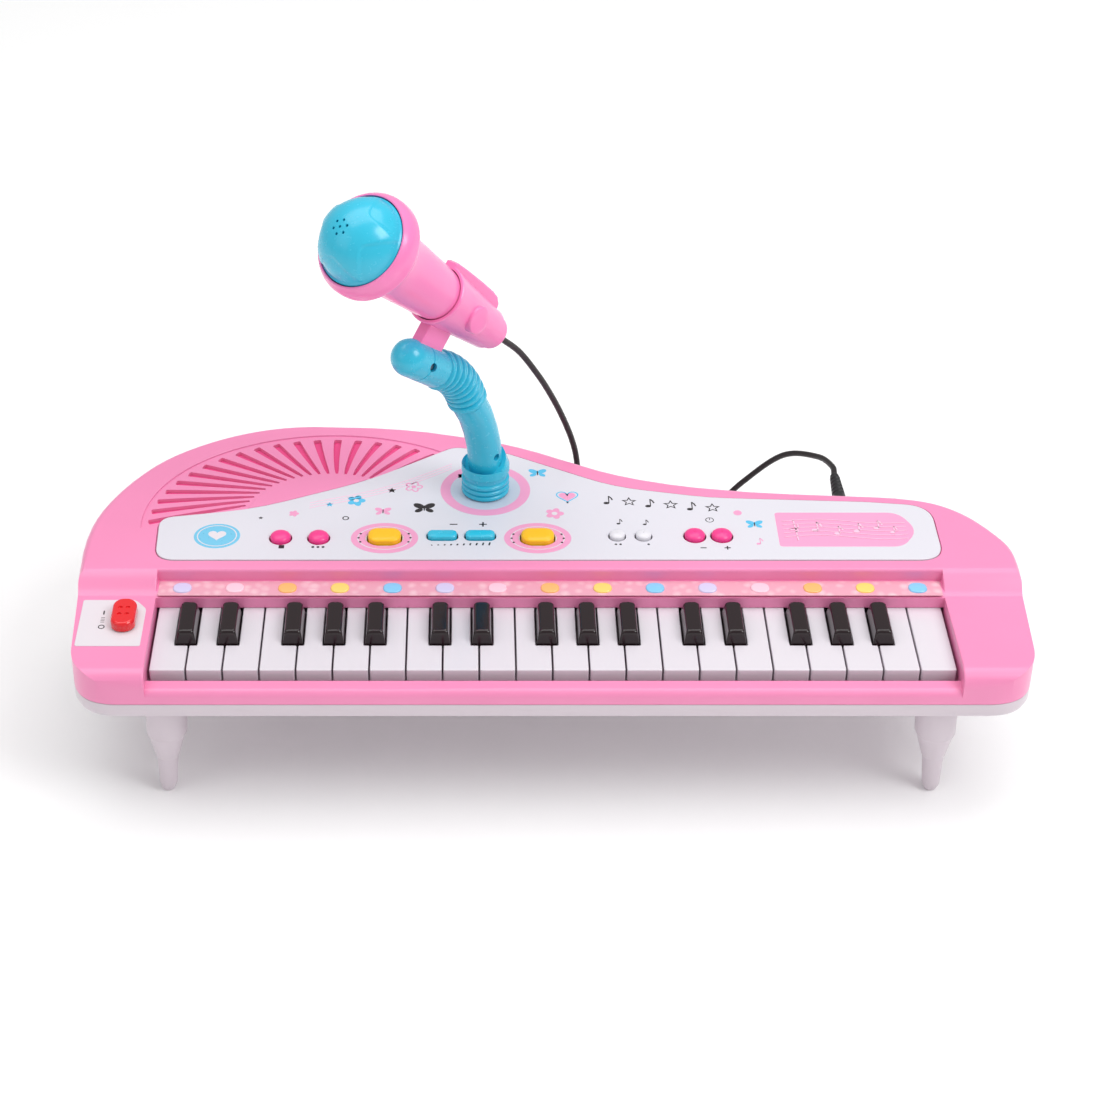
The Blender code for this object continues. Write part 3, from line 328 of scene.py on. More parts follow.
def rounded_box(width: float, depth: float, radius: float, centre: Point2 = (0.0, 0.0),
                steps: int = 8) -> Outline:
    """Points round a rectangle with round corners, counter-clockwise.

    Args:
        width: the size along X.
        depth: the size along Y.
        radius: the corner radius.
        centre: the middle.
        steps: how many steps a corner has.

    Returns:
        The outline's points.
    """
    points = []
    for quarter, (side, end) in enumerate(((1, 1), (-1, 1), (-1, -1), (1, -1))):
        for step in range(steps + 1):
            angle = math.pi / 2 * (quarter + step / steps)
            x = centre[0] + side * (width / 2 - radius) + radius * math.cos(angle)
            y = centre[1] + end * (depth / 2 - radius) + radius * math.sin(angle)
            points.append((x, y))
    return points


def oval(centre: Point2, half_x: float, half_y: float, count: int = 48) -> Outline:
    """Points round an ellipse."""
    turns = (math.tau * index / count for index in range(count))
    return [(centre[0] + half_x * math.cos(t), centre[1] + half_y * math.sin(t)) for t in turns]


def polar(centre: Point2, radius: Callable[[float], float], count: int = 60) -> Outline:
    """Points of a closed shape whose radius depends on the direction.

    Args:
        centre: the middle.
        radius: gives the radius in a direction.
        count: how many points.

    Returns:
        The outline's points.
    """
    turns = [math.tau * index / count for index in range(count)]
    return [
        (centre[0] + radius(t) * math.cos(t), centre[1] + radius(t) * math.sin(t)) for t in turns
    ]


def star(centre: Point2, size: float, points: int = 5) -> Outline:
    """A star with straight edges.

    Args:
        centre: the middle.
        size: the width over all.
        points: how many points it has.

    Returns:
        The outline's points.
    """
    outline = []
    for index in range(2 * points):
        angle = math.pi * index / points + math.pi / 2
        reach = size / 2 * (1.0 if index % 2 == 0 else 0.45)
        outline.append((centre[0] + reach * math.cos(angle), centre[1] + reach * math.sin(angle)))
    return outline


def flower(centre: Point2, size: float) -> Outline:
    """A flower with five round petals."""
    return polar(centre, lambda t: size / 2 * (0.62 + 0.38 * abs(math.cos(2.5 * t))))


def heart(centre: Point2, size: float) -> Outline:
    """A plain heart.

    Args:
        centre: the middle.
        size: the width over all.

    Returns:
        The outline's points.
    """
    points = []
    for index in range(48):
        t = -math.tau * index / 48
        x = size / 34 * 16 * math.sin(t) ** 3
        y = size / 34 * (13 * math.cos(t) - 5 * math.cos(2 * t) - 2 * math.cos(3 * t) - math.cos(4 * t))
        points.append((centre[0] + x, centre[1] + y))
    return points


def wing(centre: Point2, size: float, side: int, end: int) -> Outline:
    """One wing of a butterfly: a slanted drop.

    Args:
        centre: the middle.
        size: the width over all.
        side: -1 for the left, 1 for the right.
        end: -1 for the front, 1 for the back.

    Returns:
        The outline's points.
    """
    reach = size * (0.30 if end > 0 else 0.22)
    middle = (centre[0] + side * size * 0.26, centre[1] + end * size * 0.19)
    turn = side * end * math.radians(35)
    points = []
    for x, y in oval((0.0, 0.0), reach, reach * 0.62, 24):
        points.append((
            middle[0] + x * math.cos(turn) - y * math.sin(turn),
            middle[1] + x * math.sin(turn) + y * math.cos(turn),
        ))
    return points


# ---------------------------------------------------------------- modelling with operators


def select_only(obj: bpy.types.Object) -> None:
    """Make one object the only selected one and the active one.

    Args:
        obj: the object.
    """
    bpy.ops.object.select_all(action="DESELECT")
    obj.select_set(True)
    bpy.context.view_layer.objects.active = obj


def loft(name: str, rings: Sequence[Sequence[Sequence[float]]], caps: bool = True) -> bpy.types.Object:
    """A skin through rings: a circle put on the first ring and extruded from ring to ring.

    Args:
        name: the new piece's name.
        rings: the rings, each with the same number of points.
        caps: whether both ends are closed.

    Returns:
        The new object, with its faces pointing outwards.
    """
    bpy.ops.object.select_all(action="DESELECT")
    fill = "NGON" if caps else "NOTHING"
    bpy.ops.mesh.primitive_circle_add(vertices=len(rings[0]), fill_type=fill, calc_uvs=False)
    obj = bpy.context.object
    obj.name = obj.data.name = name
    for vert, point in zip(obj.data.vertices, rings[0]):
        vert.co = point
    bpy.ops.object.mode_set(mode="EDIT")
    bpy.ops.mesh.select_mode(type="VERT")
    bpy.ops.mesh.select_all(action="SELECT")
    for ring in rings[1:]:
        bpy.ops.mesh.extrude_region_move()
        grid = bmesh.from_edit_mesh(obj.data)
        for vert, point in zip((vert for vert in grid.verts if vert.select), ring):
            vert.co = point
        grid.normal_update()
        bmesh.update_edit_mesh(obj.data)
    bpy.ops.mesh.select_all(action="SELECT")
    bpy.ops.mesh.remove_doubles(threshold=1e-6)
    face_out(obj)
    bmesh.update_edit_mesh(obj.data)
    bpy.ops.object.mode_set(mode="OBJECT")
    obj.data.update()
    return obj


def face_out(obj: bpy.types.Object) -> None:
    """Turn all faces of the mesh being edited outwards.

    Args:
        obj: the object.
    """
    bpy.ops.mesh.select_all(action="SELECT")
    bpy.ops.mesh.normals_make_consistent(inside=False)
    if bmesh.from_edit_mesh(obj.data).calc_volume(signed=True) < 0:
        bpy.ops.mesh.flip_normals()


def level(points: Sequence[Point2], height: float) -> Ring:
    """An outline put at a height."""
    return [Vector((x, y, height)) for x, y in points]


def slab(name: str, outline: Sequence[Point2], low: float, high: float, edge: float = 0.0,
         steps: int = 3, low_edge: float = 0.0) -> bpy.types.Object:
    """A plate of an outline whose top and bottom edges may be round.

    Args:
        name: the new piece's name.
        outline: the plan.
        low, high: its levels.
        edge: the radius of its top edge.
        steps: how many steps an edge has.
        low_edge: the radius of its bottom edge.

    Returns:
        The new object.
    """
    rings = []
    quarter = [math.pi / 2 * step / steps for step in range(steps + 1)]
    if low_edge:
        for turn in reversed(quarter[1:]):
            rings.append(level(inset(outline, low_edge * (1 - math.cos(turn))),
                               low + low_edge * (1 - math.sin(turn))))
    rings.append(level(outline, low + low_edge))
    rings.append(level(outline, high - edge))
    if edge:
        for turn in quarter[1:]:
            rings.append(level(inset(outline, edge * (1 - math.cos(turn))),
                               high - edge * (1 - math.sin(turn))))
    return loft(name, rings)


def flared(name: str, outline: Sequence[Point2], low: float, high: float, flare: float) -> bpy.types.Object:
    """A cutter whose rim opens out in a quarter round, which leaves a round edge on what it cuts.

    Args:
        name: the new piece's name.
        outline: the plan, counter-clockwise.
        low: the lower level.
        high: the upper level.
        flare: how far the rim opens.

    Returns:
        The new object.
    """
    rings = [level(outline, low)]
    for step in range(5):
        turn = math.pi / 2 * step / 4
        rings.append(level(inset(outline, -flare * (1 - math.cos(turn))),
                           high - flare * (1 - math.sin(turn))))
    rings.append(level(inset(outline, -flare), high + 2 * MM))
    return loft(name, rings)


def side_prism(name: str, profile: Sequence[Point2], left: float, right: float) -> bpy.types.Object:
    """A solid of one side outline, given as (y, z), from left to right."""
    return loft(name, [[Vector((x, y, z)) for y, z in profile] for x in (left, right)])


def block(name: str, low: Sequence[float], high: Sequence[float]) -> bpy.types.Object:
    """A cube primitive stretched between two corners.

    Args:
        name: the new piece's name.
        low: its lowest corner.
        high: its highest corner.

    Returns:
        The new object.
    """
    bpy.ops.object.select_all(action="DESELECT")
    bpy.ops.mesh.primitive_cube_add(size=1.0)
    obj = bpy.context.object
    obj.name = obj.data.name = name
    middle = (Vector(low) + Vector(high)) / 2
    size = Vector(high) - Vector(low)
    for vert in obj.data.vertices:
        vert.co = Vector(a * b for a, b in zip(vert.co, size)) + middle
    return obj


def circle(radius: float, height: float, sides: int, centre: Point2 = (0.0, 0.0)) -> Ring:
    """A level ring of points."""
    return level(oval(centre, radius, radius, sides), height)


def turned(name: str, profile: Sequence[Point2], sides: int = 48,
           place: Matrix | None = None) -> bpy.types.Object:
    """A solid turned about Z from (radius, height) pairs, and then put in its place.

    Args:
        name: the new piece's name.
        profile: pairs of radius and height.
        sides: how many sides.
        place: where it goes.

    Returns:
        The new object.
    """
    obj = loft(name, [circle(radius, height, sides) for radius, height in profile])
    if place is not None:
        obj.data.transform(place)
    return obj


def swept(name: str, stations: Sequence[tuple[Vector, float]], sides: int) -> bpy.types.Object:
    """A round section that follows a line without twisting.

    Args:
        name: the new piece's name.
        stations: points of the line and the radius at each.
        sides: how many sides the section has.

    Returns:
        The new object, closed at both ends.
    """
    rings = []
    tangent = (stations[1][0] - stations[0][0]).normalized()
    side = tangent.orthogonal().normalized()
    for index, (place, radius) in enumerate(stations):
        after = stations[min(index + 1, len(stations) - 1)][0]
        before = stations[max(index - 1, 0)][0]
        if (after - before).length > 1e-7:
            turned_to = (after - before).normalized()
            side = tangent.rotation_difference(turned_to) @ side
            tangent = turned_to
        up = tangent.cross(side).normalized()
        side = up.cross(tangent).normalized()
        turns = (math.tau * step / sides for step in range(sides))
        rings.append([place + (side * math.cos(t) + up * math.sin(t)) * radius for t in turns])
    return loft(name, rings)


def carve(obj: bpy.types.Object, tool: bpy.types.Object, how: str = "DIFFERENCE") -> bpy.types.Object:
    """Cut or join one solid with another, which is used up.

    Args:
        obj: the object.
        tool: the other solid.
        how: the Boolean's operation.

    Returns:
        The same object, cut or joined.
    """
    modifier = obj.modifiers.new("carve", "BOOLEAN")
    modifier.operation = how
    modifier.solver = "MANIFOLD"
    modifier.object = tool
    select_only(obj)
    bpy.ops.object.modifier_apply(modifier=modifier.name)
    bpy.data.objects.remove(tool)
    return obj


def joined(name: str, parts: Sequence[bpy.types.Object]) -> bpy.types.Object:
    """Several objects as one, which keeps the first one's finish.

    Args:
        name: the name of the whole.
        parts: the objects.

    Returns:
        The one object.
    """
    bpy.ops.object.select_all(action="DESELECT")
    for part in parts:
        part.select_set(True)
    bpy.context.view_layer.objects.active = parts[0]
    if len(parts) > 1:
        bpy.ops.object.join()
    parts[0].name = parts[0].data.name = name
    return parts[0]


def turn_out(obj: bpy.types.Object) -> None:
    """Turn all faces of a finished mesh outwards.

    Args:
        obj: the object.
    """
    select_only(obj)
    bpy.ops.object.mode_set(mode="EDIT")
    face_out(obj)
    bpy.ops.object.mode_set(mode="OBJECT")


def smooth(obj: bpy.types.Object, angle: float = 35.0) -> None:
    """Shade round parts smooth and keep flat faces flat.

    Args:
        obj: the object.
        angle: edges sharper than this stay sharp.
    """
    select_only(obj)
    bpy.ops.object.shade_smooth_by_angle(angle=math.radians(angle))
    modifier = obj.modifiers.new("flat faces", "WEIGHTED_NORMAL")
    modifier.keep_sharp = True
    bpy.ops.object.modifier_apply(modifier=modifier.name)


def settle(obj: bpy.types.Object, material: bpy.types.Material, body: str, slot: str | None = None,
           replaces: Sequence[str] = (), angle: float = 35.0) -> bpy.types.Object:
    """Shade a finished piece, give it its finish and put it on its body.

    Args:
        obj: the piece.
        material: its finish.
        body: the body of the frame that it moves with.
        slot: the record's slot that the finish comes from.
        replaces: the frame's nodes that it stands for.
        angle: edges sharper than this stay sharp.

    Returns:
        The same piece.
    """
    smooth(obj, angle)
    obj.data.materials.clear()
    obj.data.materials.append(material)
    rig.ride(obj, body)
    if slot:
        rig.slot(obj, slot)
    if replaces:
        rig.replaces(obj, *replaces)
    LOG.info("%s: %d faces on %s", obj.name, len(obj.data.polygons), body)
    return obj


# ---------------------------------------------------------------- finishes


def linear(colour: str) -> tuple[float, float, float, float]:
    """Turn an sRGB hex colour into linear values.

    Args:
        colour: the hex colour.

    Returns:
        Red, green, blue and alpha.
    """
    parts = [int(colour[index:index + 2], 16) / 255 for index in (1, 3, 5)]
    values = [part / 12.92 if part <= 0.04045 else ((part + 0.055) / 1.055) ** 2.4 for part in parts]
    return (*values, 1.0)


def add(tree: bpy.types.NodeTree, kind: str, settings: dict | None = None,
        links: dict | None = None) -> bpy.types.Node:
    """Add a node.

    Args:
        tree: the material's node tree.
        kind: the node's type.
        settings: input sockets or properties, by name, and their values.
        links: input sockets, by name, and the output sockets that feed them.

    Returns:
        The node.
    """
    node = tree.nodes.new(kind)
    for name, value in (settings or {}).items():
        if name in node.inputs:
            node.inputs[name].default_value = value
        else:
            setattr(node, name, value)
    for name, socket in (links or {}).items():
        tree.links.new(socket, node.inputs[name])
    return node


def per_metre(size_mm: float) -> float:
    """A texture's scale for features of a size in millimetres."""
    return 1000.0 / size_mm


@dataclass(frozen=True)
class Moulded:
    """A moulded plastic: even colour with faint flow clouds, and a fine ripple in its gloss.

    Injection-moulded ABS or PS copies a polished mould, so reflections are clear but not quite
    straight, and the colour drifts a little over some centimetres.
    """

    name: str
    colour: str
    roughness: float = 0.28
    drift: float = 0.05
    cloud_mm: float = 45.0
    ripple_mm: float = 2.2
    ripple: float = 0.05
    coat: float = 0.0
    glow: float = 0.0
    ior: float = 1.53

    def material(self) -> bpy.types.Material:
        """Make the node material.

        Returns:
            The material.
        """
        material = bpy.data.materials.new(self.name)
        material.use_nodes = True
        tree = material.node_tree
        shader = tree.nodes["Principled BSDF"]
        place = add(tree, "ShaderNodeTexCoord").outputs["Object"]
        clouds = add(tree, "ShaderNodeTexNoise",
                     {"Scale": per_metre(self.cloud_mm), "Detail": 2.0}, {"Vector": place})
        base = linear(self.colour)
        darker = tuple(part * (1 - self.drift) for part in base[:3]) + (1.0,)
        lighter = tuple(min(1.0, part * (1 + self.drift)) for part in base[:3]) + (1.0,)
        mix = add(tree, "ShaderNodeMix", {"data_type": "RGBA"}, {"Factor": clouds.outputs["Fac"]})
        mix.inputs[6].default_value = darker
        mix.inputs[7].default_value = lighter
        tree.links.new(mix.outputs[2], shader.inputs["Base Color"])
        grain = add(tree, "ShaderNodeTexNoise",
                    {"Scale": per_metre(self.ripple_mm), "Detail": 3.0}, {"Vector": place})
        spread = add(tree, "ShaderNodeMapRange",
                     {"To Min": self.roughness * 0.88, "To Max": self.roughness * 1.15},
                     {"Value": grain.outputs["Fac"]})
        tree.links.new(spread.outputs["Result"], shader.inputs["Roughness"])
        bump = add(tree, "ShaderNodeBump", {"Strength": self.ripple, "Distance": 0.02 * MM},
                   {"Height": grain.outputs["Fac"]})
        tree.links.new(bump.outputs["Normal"], shader.inputs["Normal"])
        shader.inputs["IOR"].default_value = self.ior
        shader.inputs["Coat Weight"].default_value = self.coat
        shader.inputs["Coat Roughness"].default_value = 0.12
        if self.glow:
            shader.inputs["Emission Color"].default_value = base
            shader.inputs["Emission Strength"].default_value = self.glow
        return material


@dataclass(frozen=True)
class Metal:
    """A plated or drawn metal, with fine marks in its shine."""

    name: str
    colour: str
    roughness: float = 0.25
    grain_mm: float = 0.6

    def material(self) -> bpy.types.Material:
        """Make the node material.

        Returns:
            The material.
        """
        material = bpy.data.materials.new(self.name)
        material.use_nodes = True
        tree = material.node_tree
        shader = tree.nodes["Principled BSDF"]
        shader.inputs["Base Color"].default_value = linear(self.colour)
        shader.inputs["Metallic"].default_value = 1.0
        place = add(tree, "ShaderNodeTexCoord").outputs["Object"]
        marks = add(tree, "ShaderNodeTexNoise",
                    {"Scale": per_metre(self.grain_mm), "Detail": 4.0}, {"Vector": place})
        spread = add(tree, "ShaderNodeMapRange",
                     {"To Min": self.roughness * 0.8, "To Max": self.roughness * 1.3},
                     {"Value": marks.outputs["Fac"]})
        tree.links.new(spread.outputs["Result"], shader.inputs["Roughness"])
        return material


@dataclass(frozen=True)
class PrintedStrip:
    """The glued paper strip over the key lights: pale pink with rows of small lighter blots."""

    name: str
    ground: str
    blot: str
    blot_mm: float = 5.5

    def material(self) -> bpy.types.Material:
        """Make the node material.

        Returns:
            The material.
        """
        material = bpy.data.materials.new(self.name)
        material.use_nodes = True
        tree = material.node_tree
        shader = tree.nodes["Principled BSDF"]
        place = add(tree, "ShaderNodeTexCoord").outputs["Object"]
        cells = add(tree, "ShaderNodeTexVoronoi",
                    {"Scale": per_metre(self.blot_mm), "Randomness": 0.75}, {"Vector": place})
        cloud = add(tree, "ShaderNodeTexNoise", {"Scale": per_metre(9.0), "Detail": 3.0}, {"Vector": place})
        sum_of = add(tree, "ShaderNodeMath", {"operation": "ADD"})
        tree.links.new(cells.outputs["Distance"], sum_of.inputs[0])
        tree.links.new(cloud.outputs["Fac"], sum_of.inputs[1])
        ramp = add(tree, "ShaderNodeValToRGB", None, {"Fac": sum_of.outputs[0]})
        ramp.color_ramp.elements[0].position = 0.55
        ramp.color_ramp.elements[0].color = linear(self.blot)
        ramp.color_ramp.elements[1].position = 0.95
        ramp.color_ramp.elements[1].color = linear(self.ground)
        tree.links.new(ramp.outputs["Color"], shader.inputs["Base Color"])
        shader.inputs["Roughness"].default_value = 0.32
        return material


# The case: even candy pink with wide soft highlights under a thin gloss
PINK = Moulded("abs_pink", "#F28DBA", 0.30, coat=0.15)
# Painted shade: a deep pink sheet behind the slots stands in for the shaded pink inside them, so that they read as
# dark pink lines and not as black ones
SLOT_SHADE = Moulded("felt_grille_liner", "#E8508F", 0.8, drift=0.1, ripple_mm=0.4, ripple=0.5)
# The tray and legs: white plastic with a satin shine, set darker than the other whites as painted shade for
# front-facing sides that get less light
SHADED_WHITE = Moulded("abs_white_tray", "#D6CAD2", 0.32, drift=0.02)
# The panel: a cool, flat white that the prints stand out on
PANEL_WHITE = Moulded("abs_white_panel", "#DCDAE2", 0.30, drift=0.015)
# White keys: brighter and glossier than the panel
KEY_WHITE = Moulded("abs_key_white", "#DFD9E0", 0.24, drift=0.02, coat=0.1)
# Black keys: near black, with sharp bright lines along their shoulders; the red tint in the colour is a painted
# reflection of the pink case
KEY_BLACK = Moulded("abs_key_black", "#1A060C", 0.16, drift=0.1, ripple=0.02)
# Stand, dome and volume pads: clear sky blue with a slightly waxy gloss
AQUA = Moulded("pe_aqua", "#2CBEDD", 0.26, coat=0.2)
# Microphone and clip: a paler, shinier pink than the case
MIC_PINK = Moulded("abs_pink_microphone", "#FA84BF", 0.24, coat=0.2)
# Small round buttons: strong rose dots
ROSE = Moulded("abs_rose_button", "#F53A8E", 0.30)
# Large demo buttons: warm, even yellow
YELLOW = Moulded("abs_yellow_button", "#FFC20A", 0.30, drift=0.02)
# Switch knob: wet-looking red under a thick gloss
RED = Moulded("abs_red_knob", "#E5121C", 0.16, coat=0.4)
# Tone and effect pads: white, a shade brighter than the panel
BUTTON_WHITE = Moulded("abs_white_button", "#E2E0E6", 0.28, drift=0.02)
# Cord: soft black with a dull sheen
CORD_PVC = Moulded("pvc_cord_black", "#16090D", 0.40, drift=0.1, ripple_mm=0.8)
# Plug: duller and rougher than the cord
PLUG_BLACK = Moulded("pvc_plug_black", "#121014", 0.42, drift=0.1, ripple_mm=0.6, ripple=0.15)
# Inks: flat films with the shine of the panel under them
INK_BLACK = Moulded("ink_black", "#1C141A", 0.35, drift=0.05)
INK_PINK = Moulded("ink_pink", "#EE9FC6", 0.32, drift=0.03)
INK_PALE_PINK = Moulded("ink_pale_pink", "#F6C6DE", 0.32, drift=0.03)
INK_BLUE = Moulded("ink_blue", "#56BEE6", 0.32, drift=0.04)
INK_GREY = Moulded("ink_silver_grey", "#C5CCDA", 0.30, drift=0.04)
INK_WHITE = Moulded("ink_white", "#E2DBE1", 0.32, drift=0.02)
# Light strip: dusty pink paper with paler blots
STRIP = PrintedStrip("paper_strip_pink", "#E6A6B8", "#EFC6CF")
# Circuit board: lacquered dark green
BOARD_GREEN = Moulded("board_green", "#1D6B3A", 0.38, drift=0.2, cloud_mm=6.0, coat=0.3)
# Speaker cone: matt grey fibres
PAPER_CONE = Moulded("speaker_paper", "#3A3740", 0.75, drift=0.2, ripple_mm=0.5, ripple=0.5)
# Plug pin: bright plating
NICKEL = Metal("nickel_plate", "#C9C8CC", 0.22)
# Speaker basket and screws: duller grey metal
STEEL = Metal("zinc_steel_basket", "#A9ABB2", 0.35)


class Lens(Enum):
    """Colours of the key-light windows, in the order in which they repeat along the strip."""

    LILAC = "#C9C4E4"
    PINK = "#F3C3D2"
    ORANGE = "#F3B36A"
    YELLOW = "#F2CE6B"
    BLUE = "#7FC3E8"


class Shop:
    """Holds each finish's material once."""

    def __init__(self) -> None:
        """Start with an empty shelf."""
        self.made: dict[str, bpy.types.Material] = {}

    def get(self, finish: Moulded | Metal | PrintedStrip) -> bpy.types.Material:
        """The material of a finish.

        Args:
            finish: the finish.

        Returns:
            The material.
        """
        if finish.name not in self.made:
            self.made[finish.name] = finish.material()
        return self.made[finish.name]


SHOP = Shop()


# ---------------------------------------------------------------- shared places


def deck_point(u: float, v: float) -> Point2:
    """A place on the deck: share of the half width, and of its depth from the front edge."""
    return (u * HALF_WIDTH, DECK_Y + v * DECK_DEPTH)


STAND_AT = deck_point(-0.135, 0.521)
STAND_HEADING = math.radians(227.2)
MIC_TAIL = (-5.5 * MM, 85.5 * MM)
MIC_PITCH = math.radians(44.2)
PLUG_X = HALF_WIDTH * 0.6635
BOOT_LENGTH = 36 * MM
SWITCH_AT = (-(HALF_BED + 12.44 * MM), WALL_Y - 16.5 * MM)
SWITCH_SLOT = rounded_box(5.6 * MM, 12.6 * MM, 1.0 * MM, SWITCH_AT)
PLATE_TOP = CHEEK_Z + 0.3 * MM
CLIP_SPAN = (8.0 * MM, 54.6 * MM)


def stand_point(along: float, height: float) -> Vector:
    """A point in the stand's upright plane: along its heading, and above the floor."""
    x, y = STAND_AT
    return Vector((x + along * math.cos(STAND_HEADING), y + along * math.sin(STAND_HEADING), height))


def mic_frame() -> Matrix:
    """Local Z runs from the microphone's tail to its dome, and local X points down.

    Returns:
        The matrix from local places to the frame.
    """
    tail = stand_point(MIC_TAIL[0], DECK_Z + MIC_TAIL[1])
    turn = Matrix.Rotation(STAND_HEADING, 4, "Z") @ Matrix.Rotation(math.pi / 2 - MIC_PITCH, 4, "Y")
    return Matrix.Translation(tail) @ turn


def plug_frame() -> Matrix:
    """Local Z runs out of the back wall, away from the player.

    Returns:
        The matrix from local places to the frame.
    """
    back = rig.box("mic_plug")[1].y
    base = Vector((PLUG_X, back - BOOT_LENGTH, DECK_Z - 15 * MM))
    return Matrix.Translation(base) @ Matrix.Rotation(math.radians(-90), 4, "X")


@dataclass
class Studio:
    """Camera, lights and floor."""

    camera_at: tuple[float, float, float] = (-0.0383, -0.9365, 0.7522)
    camera_tilt: float = 54.2
    lens: float = 80.0
    shift: float = 0.0755

    def camera(self) -> bpy.types.Object:
        """Put the camera in front of the toy.

        Returns:
            The camera.
        """
        data = bpy.data.cameras.new("camera")
        data.lens = self.lens
        data.sensor_width = 36.0
        data.shift_x = self.shift
        data.clip_start = 0.01
        camera = bpy.data.objects.new("camera", data)
        camera.location = self.camera_at
        camera.rotation_euler = (math.radians(self.camera_tilt), 0.0, 0.0)
        bpy.context.scene.collection.objects.link(camera)
        bpy.context.scene.camera = camera
        return camera

    def soft_box(self, name: str, at: Sequence[float], aim: Sequence[float], size: Sequence[float],
                 power: float) -> None:
        """Hang one rectangular lamp.

        Args:
            name: the lamp's name.
            at: where it hangs.
            aim: what it points at.
            size: its two sides.
            power: its watts.
        """
        data = bpy.data.lights.new(name, "AREA")
        data.shape = "RECTANGLE"
        data.size, data.size_y = size
        data.energy = power
        lamp = bpy.data.objects.new(name, data)
        lamp.location = at
        lamp.rotation_euler = (Vector(aim) - Vector(at)).to_track_quat("-Z", "Y").to_euler()
        bpy.context.scene.collection.objects.link(lamp)

    def light(self) -> None:
        """Light the set softly from above, with a window-like box on the right."""
        self.soft_box("key_light", (1.1, -0.6, 1.5), (0, 0, 0.08), (0.9, 0.9), 15.0)
        self.soft_box("top_light", (-0.1, 0.35, 1.9), (0, 0, 0.05), (2.4, 1.4), 20.0)
        self.soft_box("fill_light", (-1.6, -0.9, 1.1), (0, 0, 0.08), (1.2, 1.2), 3.0)
        world = bpy.data.worlds.new("pale_room")
        world.use_nodes = True
        ground = world.node_tree.nodes["Background"]
        ground.inputs["Color"].default_value = (1.0, 1.0, 1.0, 1.0)
        ground.inputs["Strength"].default_value = 0.5
        bpy.context.scene.world = world
        bpy.context.scene.view_settings.view_transform = "Standard"

    def floor(self) -> None:
        """Lay a plain pale floor."""
        bpy.ops.object.select_all(action="DESELECT")
        bpy.ops.mesh.primitive_plane_add(size=30.0)
        floor = bpy.context.object
        floor.name = "floor"
        floor.data.materials.append(SHOP.get(Moulded("floor_white", "#FFFFFF", 0.6, drift=0.0, ripple=0.0)))
        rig.stage(floor)


@dataclass
class Lead:
    """The microphone's cord, in two lengths that meet: one follows the microphone, one the stand."""

    diameter: float = 3.0 * MM
    points: int = 240
    sides: int = 12
    meet_z: float = 0.125
    bend_z: float = 0.088

    def route(self) -> list[Vector]:
        """Evenly spaced points from the microphone's tail to the plug.

        Returns:
            The points.
        """
        tail, plug = mic_frame(), plug_frame()
        anchors = [tail @ Vector((0, 0, -0.3 * MM)), tail @ Vector((0, 0, -8.5 * MM))]
        anchors += [Vector(point) for point in CORD_ROUTE]
        anchors += [plug @ Vector((0, 0, BOOT_LENGTH + run)) for run in (8.5 * MM, 0.3 * MM)]
        padded = [2 * anchors[0] - anchors[1], *anchors, 2 * anchors[-1] - anchors[-2]]
        fine = []
        for index in range(1, len(padded) - 2):
            p0, p1, p2, p3 = padded[index - 1:index + 3]
            for step in range(24):
                t = step / 24
                fine.append((2 * p1 + (p2 - p0) * t + (2 * p0 - 5 * p1 + 4 * p2 - p3) * t**2
                             + (3 * p1 - p0 - 3 * p2 + p3) * t**3) / 2)
        fine.append(anchors[-1])
        lengths = [0.0]
        for before, after in zip(fine, fine[1:]):
            lengths.append(lengths[-1] + (after - before).length)
        even = []
        index = 0
        for step in range(self.points + 1):
            target = lengths[-1] * step / self.points
            while index < len(lengths) - 2 and lengths[index + 1] < target:
                index += 1
            share = (target - lengths[index]) / (lengths[index + 1] - lengths[index])
            even.append(fine[index].lerp(fine[index + 1], share))
        return even

    def build(self, plug: bpy.types.Object) -> None:
        """Args:
            plug: the plug on the cord's end.
        """
        even = self.route()
        meet = next(index for index, point in enumerate(even) if point.z < self.meet_z)
        material = SHOP.get(CORD_PVC)
        lengths = (("cord_upper", even[:meet + 1]), ("cord_lower", even[meet:]))
        made = []
        for name, path in lengths:
            tube = swept(name, [(point, self.diameter / 2) for point in path], self.sides)
            smooth(tube, 50)
            tube.data.materials.append(material)
            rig.slot(tube, "cord_black")
            made.append(tube)
        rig.replaces(made[1], "mic_cord")
        upper_path, lower_path = lengths[0][1], lengths[1][1]
        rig.blend(made[0], "microphone", "stand", upper_path[0], upper_path[-1])
        bend = next(point for point in lower_path if point.z < self.bend_z)
        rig.blend(made[1], "stand", "case", lower_path[0], bend)
        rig.cord(made[0], upper_path[0], run_of(upper_path), self.diameter, "object", "medium", "loose",
                upper_path)
        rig.cord(made[1], lower_path[0], run_of(lower_path), self.diameter, "plug", "medium", "loose",
                lower_path, [plug])


def run_of(path: Sequence[Vector]) -> float:
    """The length of a line of points."""
    return sum((after - before).length for before, after in zip(path, path[1:]))


CORD_ROUTE = (
    (-0.0136, 0.0537, 0.1534), (-0.0058, 0.0597, 0.1391), (0.0008, 0.0656, 0.1247),
    (0.0077, 0.0717, 0.1071), (0.0137, 0.0771, 0.0884), (0.0167, 0.0797, 0.0729),
    (0.0190, 0.0840, 0.0450), (0.0180, 0.0900, 0.0200), (0.0110, 0.1000, 0.0050),
    (-0.0030, 0.1100, 0.0016), (-0.0400, 0.1160, 0.0016), (-0.0760, 0.1160, 0.0016),
    (-0.1000, 0.1250, 0.0016), (-0.0960, 0.1420, 0.0016), (-0.0700, 0.1490, 0.0016),
    (-0.0250, 0.1440, 0.0016), (0.0250, 0.1360, 0.0016), (0.0600, 0.1220, 0.0030),
    (0.0840, 0.1160, 0.0130), (0.1050, 0.1180, 0.0350), (0.1240, 0.1120, 0.0560),
    (0.1390, 0.0960, 0.0660),
)


